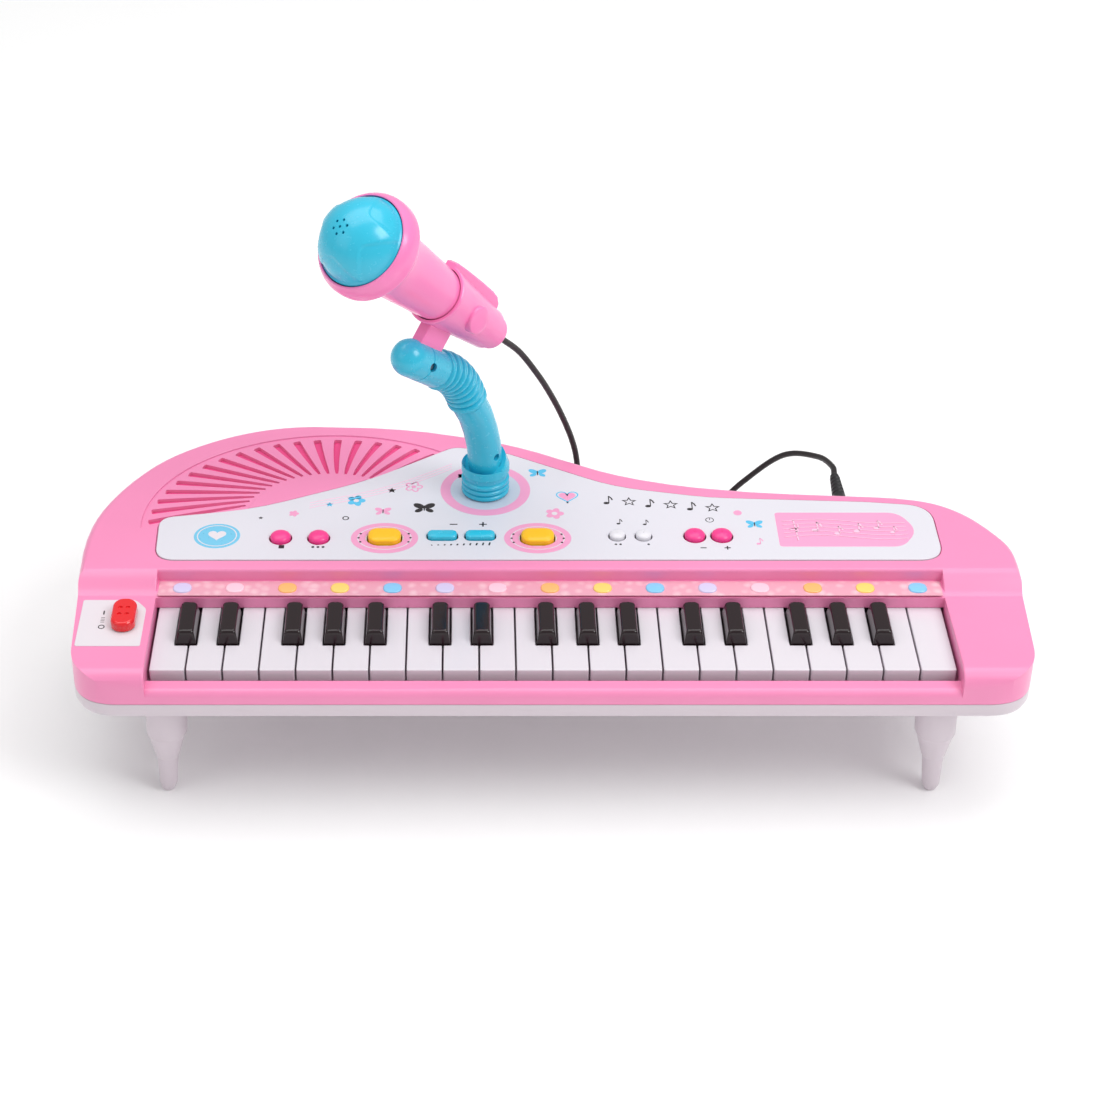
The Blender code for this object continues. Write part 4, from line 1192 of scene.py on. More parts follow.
@dataclass
class Plug:
    """The moulded jack plug: a ribbed strain relief, a grip and the metal pin in the socket."""

    grip: float = 4.5 * MM
    pin: float = 1.75 * MM
    pin_length: float = 14 * MM

    def build(self) -> bpy.types.Object:
        """Make the plug and return its body.

        Returns:
            The plug's body.
        """
        length = BOOT_LENGTH
        profile = [(self.grip - 0.5 * MM, 0.0), (self.grip, 0.5 * MM)]
        for rib in range(5):
            base = 2.0 * MM + rib * 1.3 * MM
            profile += [(self.grip, base), (self.grip - 0.35 * MM, base + 0.25 * MM),
                        (self.grip - 0.35 * MM, base + 0.6 * MM), (self.grip, base + 0.85 * MM)]
        profile += [(self.grip, length * 0.26), (4.1 * MM, length * 0.30), (3.4 * MM, length * 0.42)]
        for ring in range(6):
            base = length * (0.46 + 0.085 * ring)
            wide = 3.3 * MM - ring * 0.15 * MM
            profile += [(wide, base), (wide, base + 1.5 * MM), (wide - 0.6 * MM, base + 1.7 * MM),
                        (wide - 0.6 * MM, base + 2.6 * MM)]
        profile += [(2.2 * MM, length * 0.985), (1.9 * MM, length)]
        boot = turned("plug_boot", profile, 32, plug_frame())
        pin_profile = ((self.pin, -0.2 * MM), (self.pin, -9.5 * MM), (self.pin * 0.8, -9.8 * MM),
                       (self.pin, -10.4 * MM), (self.pin, 1.5 * MM - self.pin_length),
                       (0.4 * MM, -self.pin_length))
        pin = turned("plug_pin", pin_profile, 24, plug_frame())
        settle(pin, SHOP.get(NICKEL), "case")
        return settle(boot, SHOP.get(PLUG_BLACK), "case", "cord_black", ["mic_plug"])


@dataclass
class Grille:
    """The fan of slots round the plain half-round hub over the speaker."""

    centre: Point2 = deck_point(-0.477, 0.314)
    outer: Point2 = (85.5 * MM, 71.5 * MM)
    inner: Point2 = (43.0 * MM, 41.5 * MM)
    count: int = 19
    outer_turns: Point2 = (180.0, 54.0)
    inner_turns: Point2 = (160.0, 59.0)
    wide: Point2 = (4.0 * MM, 1.8 * MM)
    depth: float = 0.8 * MM

    def on(self, axes: Point2, turns: Point2, share: float, more: float = 0.0) -> Vector:
        """A point on one of the two ellipses.

        Args:
            axes: the ellipse's half axes.
            turns: the first and the last direction, in degrees.
            share: how far along, from 0 to 1.
            more: how much larger the ellipse is.

        Returns:
            The point.
        """
        turn = math.radians(turns[0] + (turns[1] - turns[0]) * share)
        reach = Vector(((axes[0] + more) * math.cos(turn), (axes[1] + more) * math.sin(turn)))
        return reach + Vector(self.centre)

    def slots(self, low: float, high: float) -> bpy.types.Object:
        """One cutter for all slots: round outer ends, and a slight curve.

        Args:
            low: the lower level.
            high: the upper level.

        Returns:
            The cutter.
        """
        cutters = []
        for index in range(self.count):
            share = index / (self.count - 1)
            outer = self.on(self.outer, self.outer_turns, share)
            inner = self.on(self.inner, self.inner_turns, share)
            along = (outer - inner).normalized()
            side = Vector((-along.y, along.x))
            left, right = [], []
            for step in range(9):
                t = step / 8
                middle = inner.lerp(outer, t) + side * (1.2 * MM * 4 * t * (1 - t) * (share - 0.35))
                half = (self.wide[1] + (self.wide[0] - self.wide[1]) * t) / 2
                if step == 8:
                    half *= 0.62
                if step == 0:
                    half *= 0.7
                left.append(middle + side * half)
                right.append(middle - side * half)
            shoulder = outer - along * 0.5 * MM
            left.insert(8, shoulder + side * self.wide[0] * 0.48)
            right.insert(8, shoulder - side * self.wide[0] * 0.48)
            outline = [tuple(point) for point in right] + [tuple(point) for point in reversed(left)]
            cutters.append(slab(f"slot_{index}", outline, low, high))
        return joined("grille_slots", cutters)

    def around(self, inwards: float) -> Outline:
        """The plan of the whole fan of slots.

        Args:
            inwards: how far the hub side is moved inwards.

        Returns:
            The outline's points.
        """
        steps = 40
        shares = [step / steps for step in range(steps + 1)]
        rim = [self.on(self.outer, (184.0, 50.0), share, 3.2 * MM) for share in shares]
        hub = [self.on(self.inner, (172.0, 52.0), share, -inwards) for share in shares]
        return [tuple(point) for point in reversed(rim)] + [tuple(point) for point in hub]

    def field(self, low: float, high: float) -> bpy.types.Object:
        """The cutter for the shallow step round all slots."""
        return flared("grille_field", self.around(2.5 * MM), low, high, 0.5 * MM)


@dataclass
class UpperShell:
    """The pink upper shell: deck, cheeks, front rail, light ledge and grille."""

    edge: float = 4.0 * MM
    lip: float = 1.5 * MM
    cheek_edge: float = 0.8 * MM
    rail_edge: float = 3.5 * MM
    play: float = 0.3 * MM

    def cheek_profile(self) -> Outline:
        """What is cut off over the cheeks, from the side.

        Returns:
            Points as (y, z).
        """
        slope = [(DECK_Y + 2.0 * MM, DECK_Z + WALL), (DECK_Y + 2.0 * MM, DECK_Z)]
        steps = 10
        low_y, low_z = WALL_Y + 1.0 * MM, CHEEK_Z
        for step in range(steps + 1):
            t = step / steps
            ease = t * t * (3 - 2 * t)
            slope.append((DECK_Y + 1.0 * MM + (low_y - DECK_Y - 1.0 * MM) * t,
                          DECK_Z - 0.12 * MM + (low_z - DECK_Z + 0.12 * MM) * (0.55 * ease + 0.45 * t)))
        round_y = FRONT_Y + 7.5 * MM
        slope.append((round_y, CHEEK_Z))
        for step in range(1, 11):
            turn = math.pi / 2 * step / 10
            slope.append((round_y - 7.5 * MM * math.sin(turn), CHEEK_Z - 8.0 * MM * (1 - math.cos(turn))))
        slope.append((FRONT_Y - WALL, CHEEK_Z - 8.5 * MM))
        slope.append((FRONT_Y - WALL, DECK_Z + WALL))
        return slope

    def rail_profile(self) -> Outline:
        """What is cut off over the front rail, from the side.

        Returns:
            Points as (y, z).
        """
        points = [(RAIL_Y + 1.0 * MM, DECK_Z), (RAIL_Y + 1.0 * MM, RAIL_Z - 0.4 * MM)]
        points += [(RAIL_Y - 0.1 * MM, RAIL_Z - 0.1 * MM), (RAIL_Y - 0.5 * MM, RAIL_Z)]
        for step in range(9):
            turn = math.pi / 2 * step / 8
            points.append((FRONT_Y + self.rail_edge * (1 - math.sin(turn)),
                           RAIL_Z - self.rail_edge * (1 - math.cos(turn))))
        points += [(FRONT_Y - WALL, RAIL_Z - 3.6 * MM), (FRONT_Y - WALL, DECK_Z)]
        return points

    def ledge_profile(self) -> Outline:
        """What is cut off over the light ledge, with the deck's round front edge.

        Returns:
            Points as (y, z).
        """
        points = [(WALL_Y - WALL, DECK_Z + WALL), (WALL_Y - WALL, LEDGE_Z), (DECK_Y, LEDGE_Z)]
        for step in range(6):
            turn = math.pi / 2 * step / 5
            points.append((DECK_Y + self.lip * (1 - math.cos(turn)),
                           DECK_Z - self.lip * (1 - math.sin(turn))))
        points.append((DECK_Y + self.lip, DECK_Z + WALL))
        return points

    def hollow(self, outline: Outline) -> bpy.types.Object:
        """The room inside the shell.

        Args:
            outline: the case's plan.

        Returns:
            The cutter.
        """
        under = DECK_Z - WALL
        ceiling = [
            (FRONT_Y + 2 * WALL, TRAY_Z), (FRONT_Y + 2 * WALL, CHEEK_Z - 1.5 * WALL),
            (WALL_Y + WALL, CHEEK_Z - 1.5 * WALL), (WALL_Y + WALL, LEDGE_Z - WALL),
            (DECK_Y + WALL, LEDGE_Z - WALL), (DECK_Y + WALL, under), (2 * HALF_DEPTH, under),
            (2 * HALF_DEPTH, TRAY_Z),
        ]
        room = slab("room", inset(outline, WALL), TRAY_Z, DECK_Z)
        carve(room, side_prism("ceiling", ceiling, -2 * HALF_WIDTH, 2 * HALF_WIDTH), "INTERSECT")
        bed = block("bed_walls", (-HALF_BED - WALL, FRONT_Y - WALL, TRAY_Z - WALL),
                    (HALF_BED + WALL, WALL_Y + WALL - self.play, DECK_Z))
        return carve(room, bed)

    def build(self) -> bpy.types.Object:
        """Make the shell.

        Returns:
            The shell.
        """
        outline = case_outline()
        shell = slab("case_upper", outline, SPLIT_Z, DECK_Z, self.edge, 7)
        far = 2 * HALF_WIDTH
        carve(shell, side_prism("cheek_line", self.cheek_profile(), -far, far))
        carve(shell, side_prism("rail_line", self.rail_profile(), -HALF_BED, HALF_BED))
        carve(shell, block("opening", (-HALF_BED, RAIL_Y, TRAY_Z), (HALF_BED, WALL_Y, DECK_Z + WALL)))
        carve(shell, side_prism("ledge", self.ledge_profile(), -HALF_BED, HALF_BED))
        self.ease_cheeks(shell)
        carve(shell, self.hollow(outline))
        tails = block("tails", (-HALF_BED, WALL_Y - self.play, TRAY_Z),
                      (HALF_BED, WALL_Y + 2 * WALL, KEY_Z + self.play))
        carve(shell, tails)
        grille = Grille()
        carve(shell, grille.field(DECK_Z - grille.depth, DECK_Z))
        carve(shell, grille.slots(DECK_Z - 2 * WALL, DECK_Z + WALL))
        carve(shell, slab("panel_seat", panel_outline(0.6 * MM), PANEL_Z - 1.7 * MM, DECK_Z + WALL))
        carve(shell, slab("panel_window", panel_outline(-3.0 * MM), DECK_Z - 2 * WALL, DECK_Z + WALL))
        carve(shell, slab("switch_slot", SWITCH_SLOT, CHEEK_Z - 4 * WALL, CHEEK_Z + WALL))
        bore = ((2.05 * MM, -3 * WALL), (2.05 * MM, -0.9 * MM), (5.4 * MM, -0.89 * MM),
                (5.4 * MM, 2 * WALL))
        carve(shell, turned("jack_hole", bore, 32, plug_frame()))
        return settle(shell, SHOP.get(PINK), "case", "pink_shell", ["upper_case"])

    def ease_cheeks(self, shell: bpy.types.Object) -> None:
        """Round the cheeks' inner top edges.

        Args:
            shell: the shell.
        """
        select_only(shell)
        bpy.ops.object.mode_set(mode="EDIT")
        bpy.ops.mesh.select_mode(type="EDGE")
        bpy.ops.mesh.select_all(action="DESELECT")
        grid = bmesh.from_edit_mesh(shell.data)
        for edge in grid.edges:
            at_side = all(abs(abs(vert.co.x) - HALF_BED) < 1e-6 for vert in edge.verts)
            high = all(vert.co.z > RAIL_Z + 2 * MM for vert in edge.verts)
            along = abs(edge.verts[0].co.y - edge.verts[1].co.y) > 1e-6
            in_bed = all(vert.co.y < DECK_Y - 2 * MM for vert in edge.verts)
            top = any(face.normal.z > 0.3 for face in edge.link_faces)
            wall = any(abs(face.normal.x) > 0.9 for face in edge.link_faces)
            edge.select = at_side and high and along and in_bed and top and wall
        bmesh.update_edit_mesh(shell.data)
        bpy.ops.mesh.bevel(offset=self.cheek_edge, segments=3)
        bpy.ops.object.mode_set(mode="OBJECT")


@dataclass
class Tray:
    """The white lower shell with its battery door and screw wells."""

    edge: float = 3.0 * MM

    def build(self) -> None:
        """Make the tray."""
        outline = case_outline()
        tray = slab("case_lower", outline, TRAY_Z, SPLIT_Z - 0.25 * MM, 0.35 * MM, 2, self.edge)
        carve(tray, slab("tray_room", inset(outline, WALL), TRAY_Z + WALL, SPLIT_Z + WALL))
        for x, y in self.screws():
            well = oval((x, y), 3.4 * MM, 3.4 * MM, 24)
            carve(tray, slab("well", well, TRAY_Z - WALL, TRAY_Z + 1.6 * MM))
        door = rounded_box(72 * MM, 62 * MM, 5 * MM, (20 * MM, -28 * MM))
        carve(tray, slab("door_seat", inset(door, -0.5 * MM), TRAY_Z - WALL, TRAY_Z + 1.2 * MM))
        # This white is set darker as painted shade for the tray's front-facing sides
        settle(tray, SHOP.get(SHADED_WHITE), "case", "white_shell", ["lower_case"])
        lid = slab("battery_door", door, TRAY_Z + 0.1 * MM, TRAY_Z + 1.2 * MM, 0.2 * MM)
        settle(lid, SHOP.get(SHADED_WHITE), "case", "white_shell")
        ribs = []
        for index in range(10):
            left = 2 * MM + index * 4 * MM
            ribs.append(block(f"grip_{index}", (left, -9 * MM, TRAY_Z - 0.4 * MM),
                              (left + 1.6 * MM, -2 * MM, TRAY_Z + 0.5 * MM)))
        settle(joined("door_grip", ribs), SHOP.get(SHADED_WHITE), "case", "white_shell")
        heads = []
        for place in self.screws():
            rim = oval(place, 2.6 * MM, 2.6 * MM, 24)
            heads.append(slab("head", rim, TRAY_Z + 0.7 * MM, TRAY_Z + 1.6 * MM, 0.3 * MM))
        settle(joined("tray_screws", heads), SHOP.get(STEEL), "case")

    def screws(self) -> list[Point2]:
        """Places of the screws under the tray."""
        return [(-0.19, -0.02), (-0.12, -0.075), (0.12, -0.075), (0.19, -0.02), (-0.06, 0.07), (-0.14, 0.06),
                (0.08, 0.02), (-0.19, -0.065), (0.20, -0.06)]


@dataclass
class Panel:
    """The white control panel in the deck."""

    thick: float = 1.4 * MM

    def build(self, holes: Sequence[Outline]) -> None:
        """Make the panel with its button holes.

        Args:
            holes: the outlines of the holes.
        """
        panel = slab("deck_panel", panel_outline(), PANEL_Z - self.thick, PANEL_Z, 0.35 * MM, 3)
        for hole in holes:
            carve(panel, flared("hole", hole, DECK_Z - 2 * WALL, PANEL_Z, 0.25 * MM))
        peg = slab("peg_hole", oval(STAND_AT, 7.8 * MM, 7.8 * MM), DECK_Z - WALL, DECK_Z + WALL)
        carve(panel, peg)
        settle(panel, SHOP.get(PANEL_WHITE), "case", "white_shell", ["control_panel"])


@dataclass(frozen=True)
class Rocker:
    """The sizes of one pair of pads on a shared yoke."""

    name: str
    share: float
    reach: float
    size: Point2
    rise: float
    radius: float
    dome: float
    finish: Moulded
    slot: str


ROCKERS = (
    Rocker("volume_rocker", -0.188, 8.9 * MM, (13.7 * MM, 6.0 * MM), 2.2 * MM, 2.4 * MM, 0.9 * MM,
           AQUA, "aqua"),
    Rocker("tone_rocker", 0.1765, 6.2 * MM, (7.2 * MM, 7.2 * MM), 2.4 * MM, 3.55 * MM, 1.4 * MM,
           BUTTON_WHITE, "white_shell"),
    Rocker("tempo_rocker", 0.3445, 6.35 * MM, (9.6 * MM, 9.6 * MM), 3.0 * MM, 4.75 * MM, 2.2 * MM,
           ROSE, "rose"),
)


@dataclass
class Buttons:
    """The row of buttons and rockers."""

    flange_top: float = DECK_Z - WALL - 0.3 * MM
    flange: float = 1.2 * MM
    flange_out: float = 1.4 * MM
    stem: float = 3.0 * MM
    stop: float = DECK_Z - 13.0 * MM + 2.1 * MM
    gap: float = 0.6 * MM

    def cap(self, name: str, outline: Outline, rise: float, low: float, dome: float) -> bpy.types.Object:
        """A cap whose top is domed: the edge is round and the face keeps rising to its middle.

        Args:
            name: the new piece's name.
            outline: the plan, counter-clockwise.
            rise: how far it stands over the panel.
            low: the lower level.
            dome: the height of its round top.

        Returns:
            The cap.
        """
        top = PANEL_Z + rise
        rings = [level(outline, low), level(outline, top - dome)]
        xs = [x for x, _ in outline]
        ys = [y for _, y in outline]
        half = min(max(xs) - min(xs), max(ys) - min(ys)) / 2
        reach = min(half * 0.96, dome * 2.6)
        for step in range(1, 9):
            turn = math.pi / 2 * step / 8
            rings.append(level(inset(outline, reach * (1 - math.cos(turn))),
                               top - dome * (1 - math.sin(turn))))
        return loft(name, rings)

    def push(self, name: str, centre: Point2, outline: Outline, half: Point2, dome: float,
             finish: Moulded, slot: str) -> Outline:
        """Make a button that goes straight down.

        Args:
            name: the new piece's name.
            centre: the middle.
            outline: the plan, counter-clockwise.
            half: half of its size along X and Y.
            dome: the height of its round top.
            finish: the finish.
            slot: the record's slot of its colour.

        Returns:
            The outline of the hole that it needs.
        """
        parts = [self.cap(name, outline, 3.0 * MM, self.flange_top - 0.6 * MM, dome)]
        parts += self.foot(centre, half[0] + self.flange_out, half[1] + self.flange_out)
        settle(joined(name + "_cap", parts), SHOP.get(finish), name, slot, [name])
        return inset(outline, -self.gap)

    def pair(self, rocker: Rocker) -> list[Outline]:
        """Make a pair of pads on its yoke.

        Args:
            rocker: its sizes.

        Returns:
            The outlines of the two holes that it needs.
        """
        centre = (rocker.share * HALF_WIDTH, BUTTON_Y + 1.5 * MM)
        top = self.flange_top - 1.2 * MM
        half = (rocker.reach + rocker.size[0] / 2, 3.0 * MM)
        parts = [block(rocker.name, (centre[0] - half[0], centre[1] - half[1], top - 2 * self.flange),
                       (centre[0] + half[0], centre[1] + half[1], top))]
        holes = []
        for side in (-1, 1):
            middle = (centre[0] + side * rocker.reach, centre[1])
            outline = rounded_box(*rocker.size, rocker.radius, middle)
            holes.append(inset(outline, -self.gap))
            parts.append(self.cap("pad", outline, rocker.rise, top - 0.6 * MM, rocker.dome))
        settle(joined(rocker.name + "_caps", parts), SHOP.get(rocker.finish), rocker.name, rocker.slot,
               [rocker.name])
        return holes

    def build(self) -> list[Outline]:
        """Make all buttons.

        Returns:
            The outlines of the holes.
        """
        holes = []
        small, large = (4.8 * MM, 4.8 * MM), (7.7 * MM, 5.4 * MM)
        for name, share in (("button_stop", -0.577), ("button_rhythm", -0.495)):
            centre = (share * HALF_WIDTH, BUTTON_Y)
            outline = oval(centre, *small, 40)
            holes.append(self.push(name, centre, outline, small, 2.2 * MM, ROSE, "rose"))
        for name, share in (("button_demo_left", -0.353), ("button_demo_right", -0.0235)):
            centre = (share * HALF_WIDTH, BUTTON_Y)
            outline = rounded_box(15.4 * MM, 10.8 * MM, 4.4 * MM, centre)
            holes.append(self.push(name, centre, outline, large, 1.3 * MM, YELLOW, "yellow"))
        for rocker in ROCKERS:
            holes += self.pair(rocker)
        return holes

    def foot(self, centre: Point2, half_x: float, half_y: float) -> list[bpy.types.Object]:
        """The flange under the deck and the stem down to the board.

        Args:
            centre: the middle.
            half_x: half the flange along X.
            half_y: half the flange along Y.

        Returns:
            The flange and the stem.
        """
        x, y = centre
        low = self.flange_top - self.flange
        plate = block("flange", (x - half_x, y - half_y, low), (x + half_x, y + half_y, self.flange_top))
        stem = slab("stem", oval(centre, self.stem, self.stem, 16), self.stop, low)
        return [plate, stem]


@dataclass
class Keys:
    """White and black keys."""

    thick: float = 2.5 * MM
    lip: float = 6.0 * MM
    edge: float = 0.5 * MM
    black_base: float = 9.3 * MM
    black_top: float = 5.0 * MM
    black_rise: float = 6.5 * MM
    black_length: float = 23.5 * MM
    black_back_gap: float = 3.4 * MM
    blacks: tuple[tuple[int, float], ...] = (
        (0, -1.3 * MM), (1, 1.3 * MM), (3, -2.2 * MM), (4, 0.0), (5, 2.2 * MM),
    )

    def white_outline(self, index: int) -> Outline:
        """Plan of a white key, narrower beside its black keys.

        Args:
            index: the key's number from the left, from 0.

        Returns:
            The outline's points.
        """
        left = (index - KEY_COUNT / 2) * KEY_PITCH + KEY_GAP / 2
        right = left + KEY_PITCH - KEY_GAP
        notch = self.black_base / 2 + KEY_GAP * 0.6
        notch_y = WALL_Y - self.black_back_gap - self.black_length - KEY_GAP
        back_left, back_right = left, right
        for place, shift in self.blacks:
            if place == (index - 1) % 7 and index > 0:
                back_left = left - KEY_GAP / 2 + shift + notch
            if place == index % 7 and index < KEY_COUNT - 1:
                back_right = right + KEY_GAP / 2 + shift - notch
        points = [(left, KEY_FRONT_Y), (right, KEY_FRONT_Y)]
        if back_right < right:
            points += [(right, notch_y), (back_right, notch_y)]
        points += [(back_right, KEY_BACK_Y), (back_left, KEY_BACK_Y)]
        if back_left > left:
            points += [(back_left, notch_y), (left, notch_y)]
        return points

    def build_white(self) -> None:
        """Make the white keys."""
        material = SHOP.get(KEY_WHITE)
        for index in range(KEY_COUNT):
            node = f"white_key_{index + 1:02d}"
            outline = self.white_outline(index)
            corners = [(x, y, 0.9 * MM if y == KEY_FRONT_Y else 0.6 * MM) for x, y in outline]
            key = slab(node + "_top", round_corners(corners, math.radians(20), 0.05 * MM),
                       KEY_Z - self.lip, KEY_Z, self.edge, 4)
            xs = [x for x, _ in outline]
            under = block("under", (min(xs) - KEY_GAP, KEY_FRONT_Y + self.thick, KEY_Z - 2 * self.lip),
                          (max(xs) + KEY_GAP, KEY_BACK_Y + KEY_GAP, KEY_Z - self.thick))
            carve(key, under)
            settle(key, material, node, "ivory", [node])

    def section(self, share: float) -> tuple[float, float, float]:
        """A black key's rise, narrowing and slope at a share of its height: straight, then round.

        Args:
            share: how far along, from 0 to 1.

        Returns:
            The three shares.
        """
        knee = 0.72
        if share < knee:
            return share * 1.12, share * 0.62, share * 0.55
        turn = (share - knee) / (1 - knee) * math.pi / 2
        rise, close = math.sin(turn), 1 - math.cos(turn)
        return min(1.0, 0.806 + 0.194 * rise), 0.446 + 0.554 * close, 0.396 + 0.604 * close

    def black_rings(self, x: float, front: float, back: float) -> list[Ring]:
        """A black key's skin, from its foot to its top.

        Args:
            x: its middle.
            front: its front.
            back: its back.

        Returns:
            The rings, from the foot up.
        """
        foot = rounded_box(self.black_base, self.black_length, 0.5 * MM, (x, (front + back) / 2), 4)
        rings = [level(foot, KEY_Z - self.thick), level(foot, KEY_Z)]
        for step in range(1, 12):
            share = step / 11
            rise, narrow, slope = self.section(share)
            width = self.black_base + (self.black_top - self.black_base) * narrow
            cut = 2.7 * MM * slope
            rear = 0.6 * MM * share
            plan = rounded_box(width, back - rear - front - cut, 0.5 * MM + 0.9 * MM * share,
                               (x, (front + cut + back - rear) / 2), 4)
            rings.append(level(plan, KEY_Z + self.black_rise * rise))
        return rings

    def build_black(self) -> None:
        """Make the black keys."""
        # The finish's red tint is a painted reflection of the pink case
        material = SHOP.get(KEY_BLACK)
        back = WALL_Y - self.black_back_gap
        front = back - self.black_length
        number = 0
        for octave in range(KEY_COUNT // 7):
            for place, shift in self.blacks:
                number += 1
                node = f"black_key_{number:02d}"
                x = (octave * 7 + place + 1 - KEY_COUNT / 2) * KEY_PITCH + shift
                body = loft(node + "_cap", self.black_rings(x, front, back))
                tail = block("tail", (x - 3 * MM, back - 1 * MM, KEY_Z - self.thick),
                             (x + 3 * MM, KEY_BACK_Y, KEY_Z))
                settle(joined(node + "_cap", [body, tail]), material, node, "ebony", [node])

    def build(self) -> None:
        """Make the keyboard."""
        self.build_white()
        self.build_black()


@dataclass
class Legs:
    """Four turned legs, leaning outwards a little."""

    lean: float = 0.045
    profile: tuple[Point2, ...] = (
        (0.0022, 0.0), (0.0028, 0.0006), (0.0032, 0.0015), (0.0037, 0.0026), (0.0041, 0.004),
        (0.0045, 0.012), (0.0049, 0.020), (0.0051, 0.0208), (0.0056, 0.0215), (0.0063, 0.0245),
        (0.0072, 0.0285), (0.0082, 0.0325), (0.0087, 0.0338), (0.0090, 0.0344), (0.0093, 0.0352),
        (0.0094, 0.044), (0.0095, 0.0534), (0.0095, 0.0537),
    )

    def build(self) -> None:
        """Make the legs."""
        # The legs share the white that is set darker as painted shade
        material = SHOP.get(SHADED_WHITE)
        for node in ("leg_front_left", "leg_front_right", "leg_rear_left", "leg_rear_right"):
            low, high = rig.box(node)
            side = 1 if high.x > 0 else -1
            y = (low.y + high.y) / 2
            x = (high.x - 9.5 * MM) if side < 0 else (low.x + 9.5 * MM)
            top = self.profile[-1][1]
            pin = ((0.0035, top), (0.0035, top + 2 * WALL))
            leg = turned(node + "_turned", self.profile + pin, 40)
            for vert in leg.data.vertices:
                vert.co.x += x + side * self.lean * max(0.0, top - vert.co.z)
                vert.co.y += y
            settle(leg, material, "case", "white_shell", [node])


@dataclass
class Stand:
    """The bent tube that carries the microphone: collar, ribs at the bend, and the arm."""

    tube: float = 8.25 * MM
    collar: float = 11.5 * MM
    collar_height: float = 17.0 * MM
    peg: float = 7.5 * MM
    ribs: int = 8
    arm_start: Point2 = (0.0335, 0.0838)
    arm_end: Point2 = (0.0578, 0.1031)
    upright: tuple[Point2, ...] = (
        (0.0003, 0.020), (0.0014, 0.028), (0.0038, 0.0375), (0.0075, 0.0478), (0.0125, 0.057),
    )
    collar_groove: tuple[Point2, ...] = (
        (0.0, 1.1), (0.35, 0.45), (0.8, 0.05), (1.5, 0.0), (2.1, 0.05), (2.5, 0.45), (2.8, 1.1),
    )
    bend_rib: tuple[Point2, ...] = (
        (0.04, -0.6), (0.12, -0.6), (0.24, 0.9), (0.36, 1.3), (0.66, 1.3), (0.78, 0.9), (0.92, -0.6),
    )

    def stations(self) -> list[tuple[Vector, float]]:
        """Points along the tube, with the radius at each.

        Returns:
            Points of the middle line and their radii.
        """
        rows = [(0.0, -9 * MM, self.peg), (0.0, 0.65 * MM, self.peg)]
        for rib in range(3):
            base = 0.7 * MM + rib * 2.9 * MM
            for up, out in self.collar_groove:
                rows.append((0.0, base + up * MM, self.collar - out * MM))
        top = self.collar_height
        rows += [(0.0, 9.6 * MM, self.collar - 1.0 * MM), (0.0, top - 5.2 * MM, self.collar - 0.9 * MM),
                 (0.0, top - 4.8 * MM, self.collar - 0.2 * MM), (0.0, top - 4.4 * MM, self.collar),
                 (0.0, top - 0.8 * MM, self.collar), (0.0, top - 0.25 * MM, self.collar - 0.25 * MM),
                 (0.0, top, self.collar - 0.8 * MM), (0.0002, top + 0.02 * MM, self.tube + 0.3 * MM),
                 (0.0002, top + 0.3 * MM, self.tube)]
        bend = [Vector(point) for point in self.upright]
        rows += [(point.x, point.y, self.tube) for point in bend]
        start, end = bend[-1], Vector(self.arm_start)
        bow = Vector((-0.0022, 0.0026))
        for rib in range(self.ribs):
            for half, out in self.bend_rib:
                share = (rib + half) / self.ribs
                place = start.lerp(end, share) + bow * (4 * share * (1 - share))
                rows.append((place.x, place.y, self.tube + out * MM))
        arm = (Vector(self.arm_end) - end).normalized()
        wide = self.tube + 0.5 * MM
        for run, radius in ((0.0, wide - 0.4 * MM), (0.4, wide), (14.2, wide), (14.4, wide - 0.35 * MM),
                            (14.9, wide - 0.35 * MM), (15.1, wide), (21.6, wide)):
            place = end + arm * run * MM
            rows.append((place.x, place.y, radius))
        for turn in range(10, 91, 10):
            angle = math.radians(turn)
            place = end + arm * (22.0 * MM + wide * math.sin(angle) * 0.98)
            rows.append((place.x, place.y, max(0.2 * MM, wide * math.cos(angle))))
        return [(stand_point(along, DECK_Z + height), radius) for along, height, radius in rows]

    def build(self) -> None:
        """Make the stand with its screw holes and the slot of the clip's tab."""
        stand = swept("stand_tube", self.stations(), 48)
        carve(stand, tab_block("tab_slot", 0.3 * MM))
        arm = Vector(self.arm_end) - Vector(self.arm_start)
        pitch = math.atan2(arm.y, arm.x)
        turn = Matrix.Rotation(math.radians(-50), 4, "Z") @ Matrix.Rotation(math.pi / 2, 4, "Y")
        place = Matrix.Translation(stand_point(0.0, DECK_Z + 23.5 * MM)) @ turn
        bore = turned("screw_hole", ((1.8 * MM, 0.0), (1.8 * MM, 12 * MM)), 20,
                      place @ Matrix.Translation((0, 0, 5.6 * MM)))
        carve(stand, bore)
        middle = stand_point(self.arm_start[0] + 10 * MM * math.cos(pitch),
                             DECK_Z + self.arm_start[1] + 10 * MM * math.sin(pitch))
        facing = Matrix.Rotation(math.radians(-62), 4, "Z") @ Matrix.Rotation(math.radians(72), 4, "Y")
        bore = turned("arm_hole", ((2.1 * MM, 0.0), (2.1 * MM, 12 * MM)), 24,
                      Matrix.Translation(middle) @ facing @ Matrix.Translation((0, 0, 5.2 * MM)))
        carve(stand, bore)
        settle(stand, SHOP.get(AQUA), "stand", "aqua", ["mic_stand"])
        head = turned("arm_screw", ((1.9 * MM, 0.0), (1.9 * MM, 0.5 * MM), (1.5 * MM, 0.8 * MM)), 24)
        head.data.transform(Matrix.Translation(middle) @ facing @ Matrix.Translation((0, 0, 5.3 * MM)))
        settle(head, SHOP.get(STEEL), "stand")


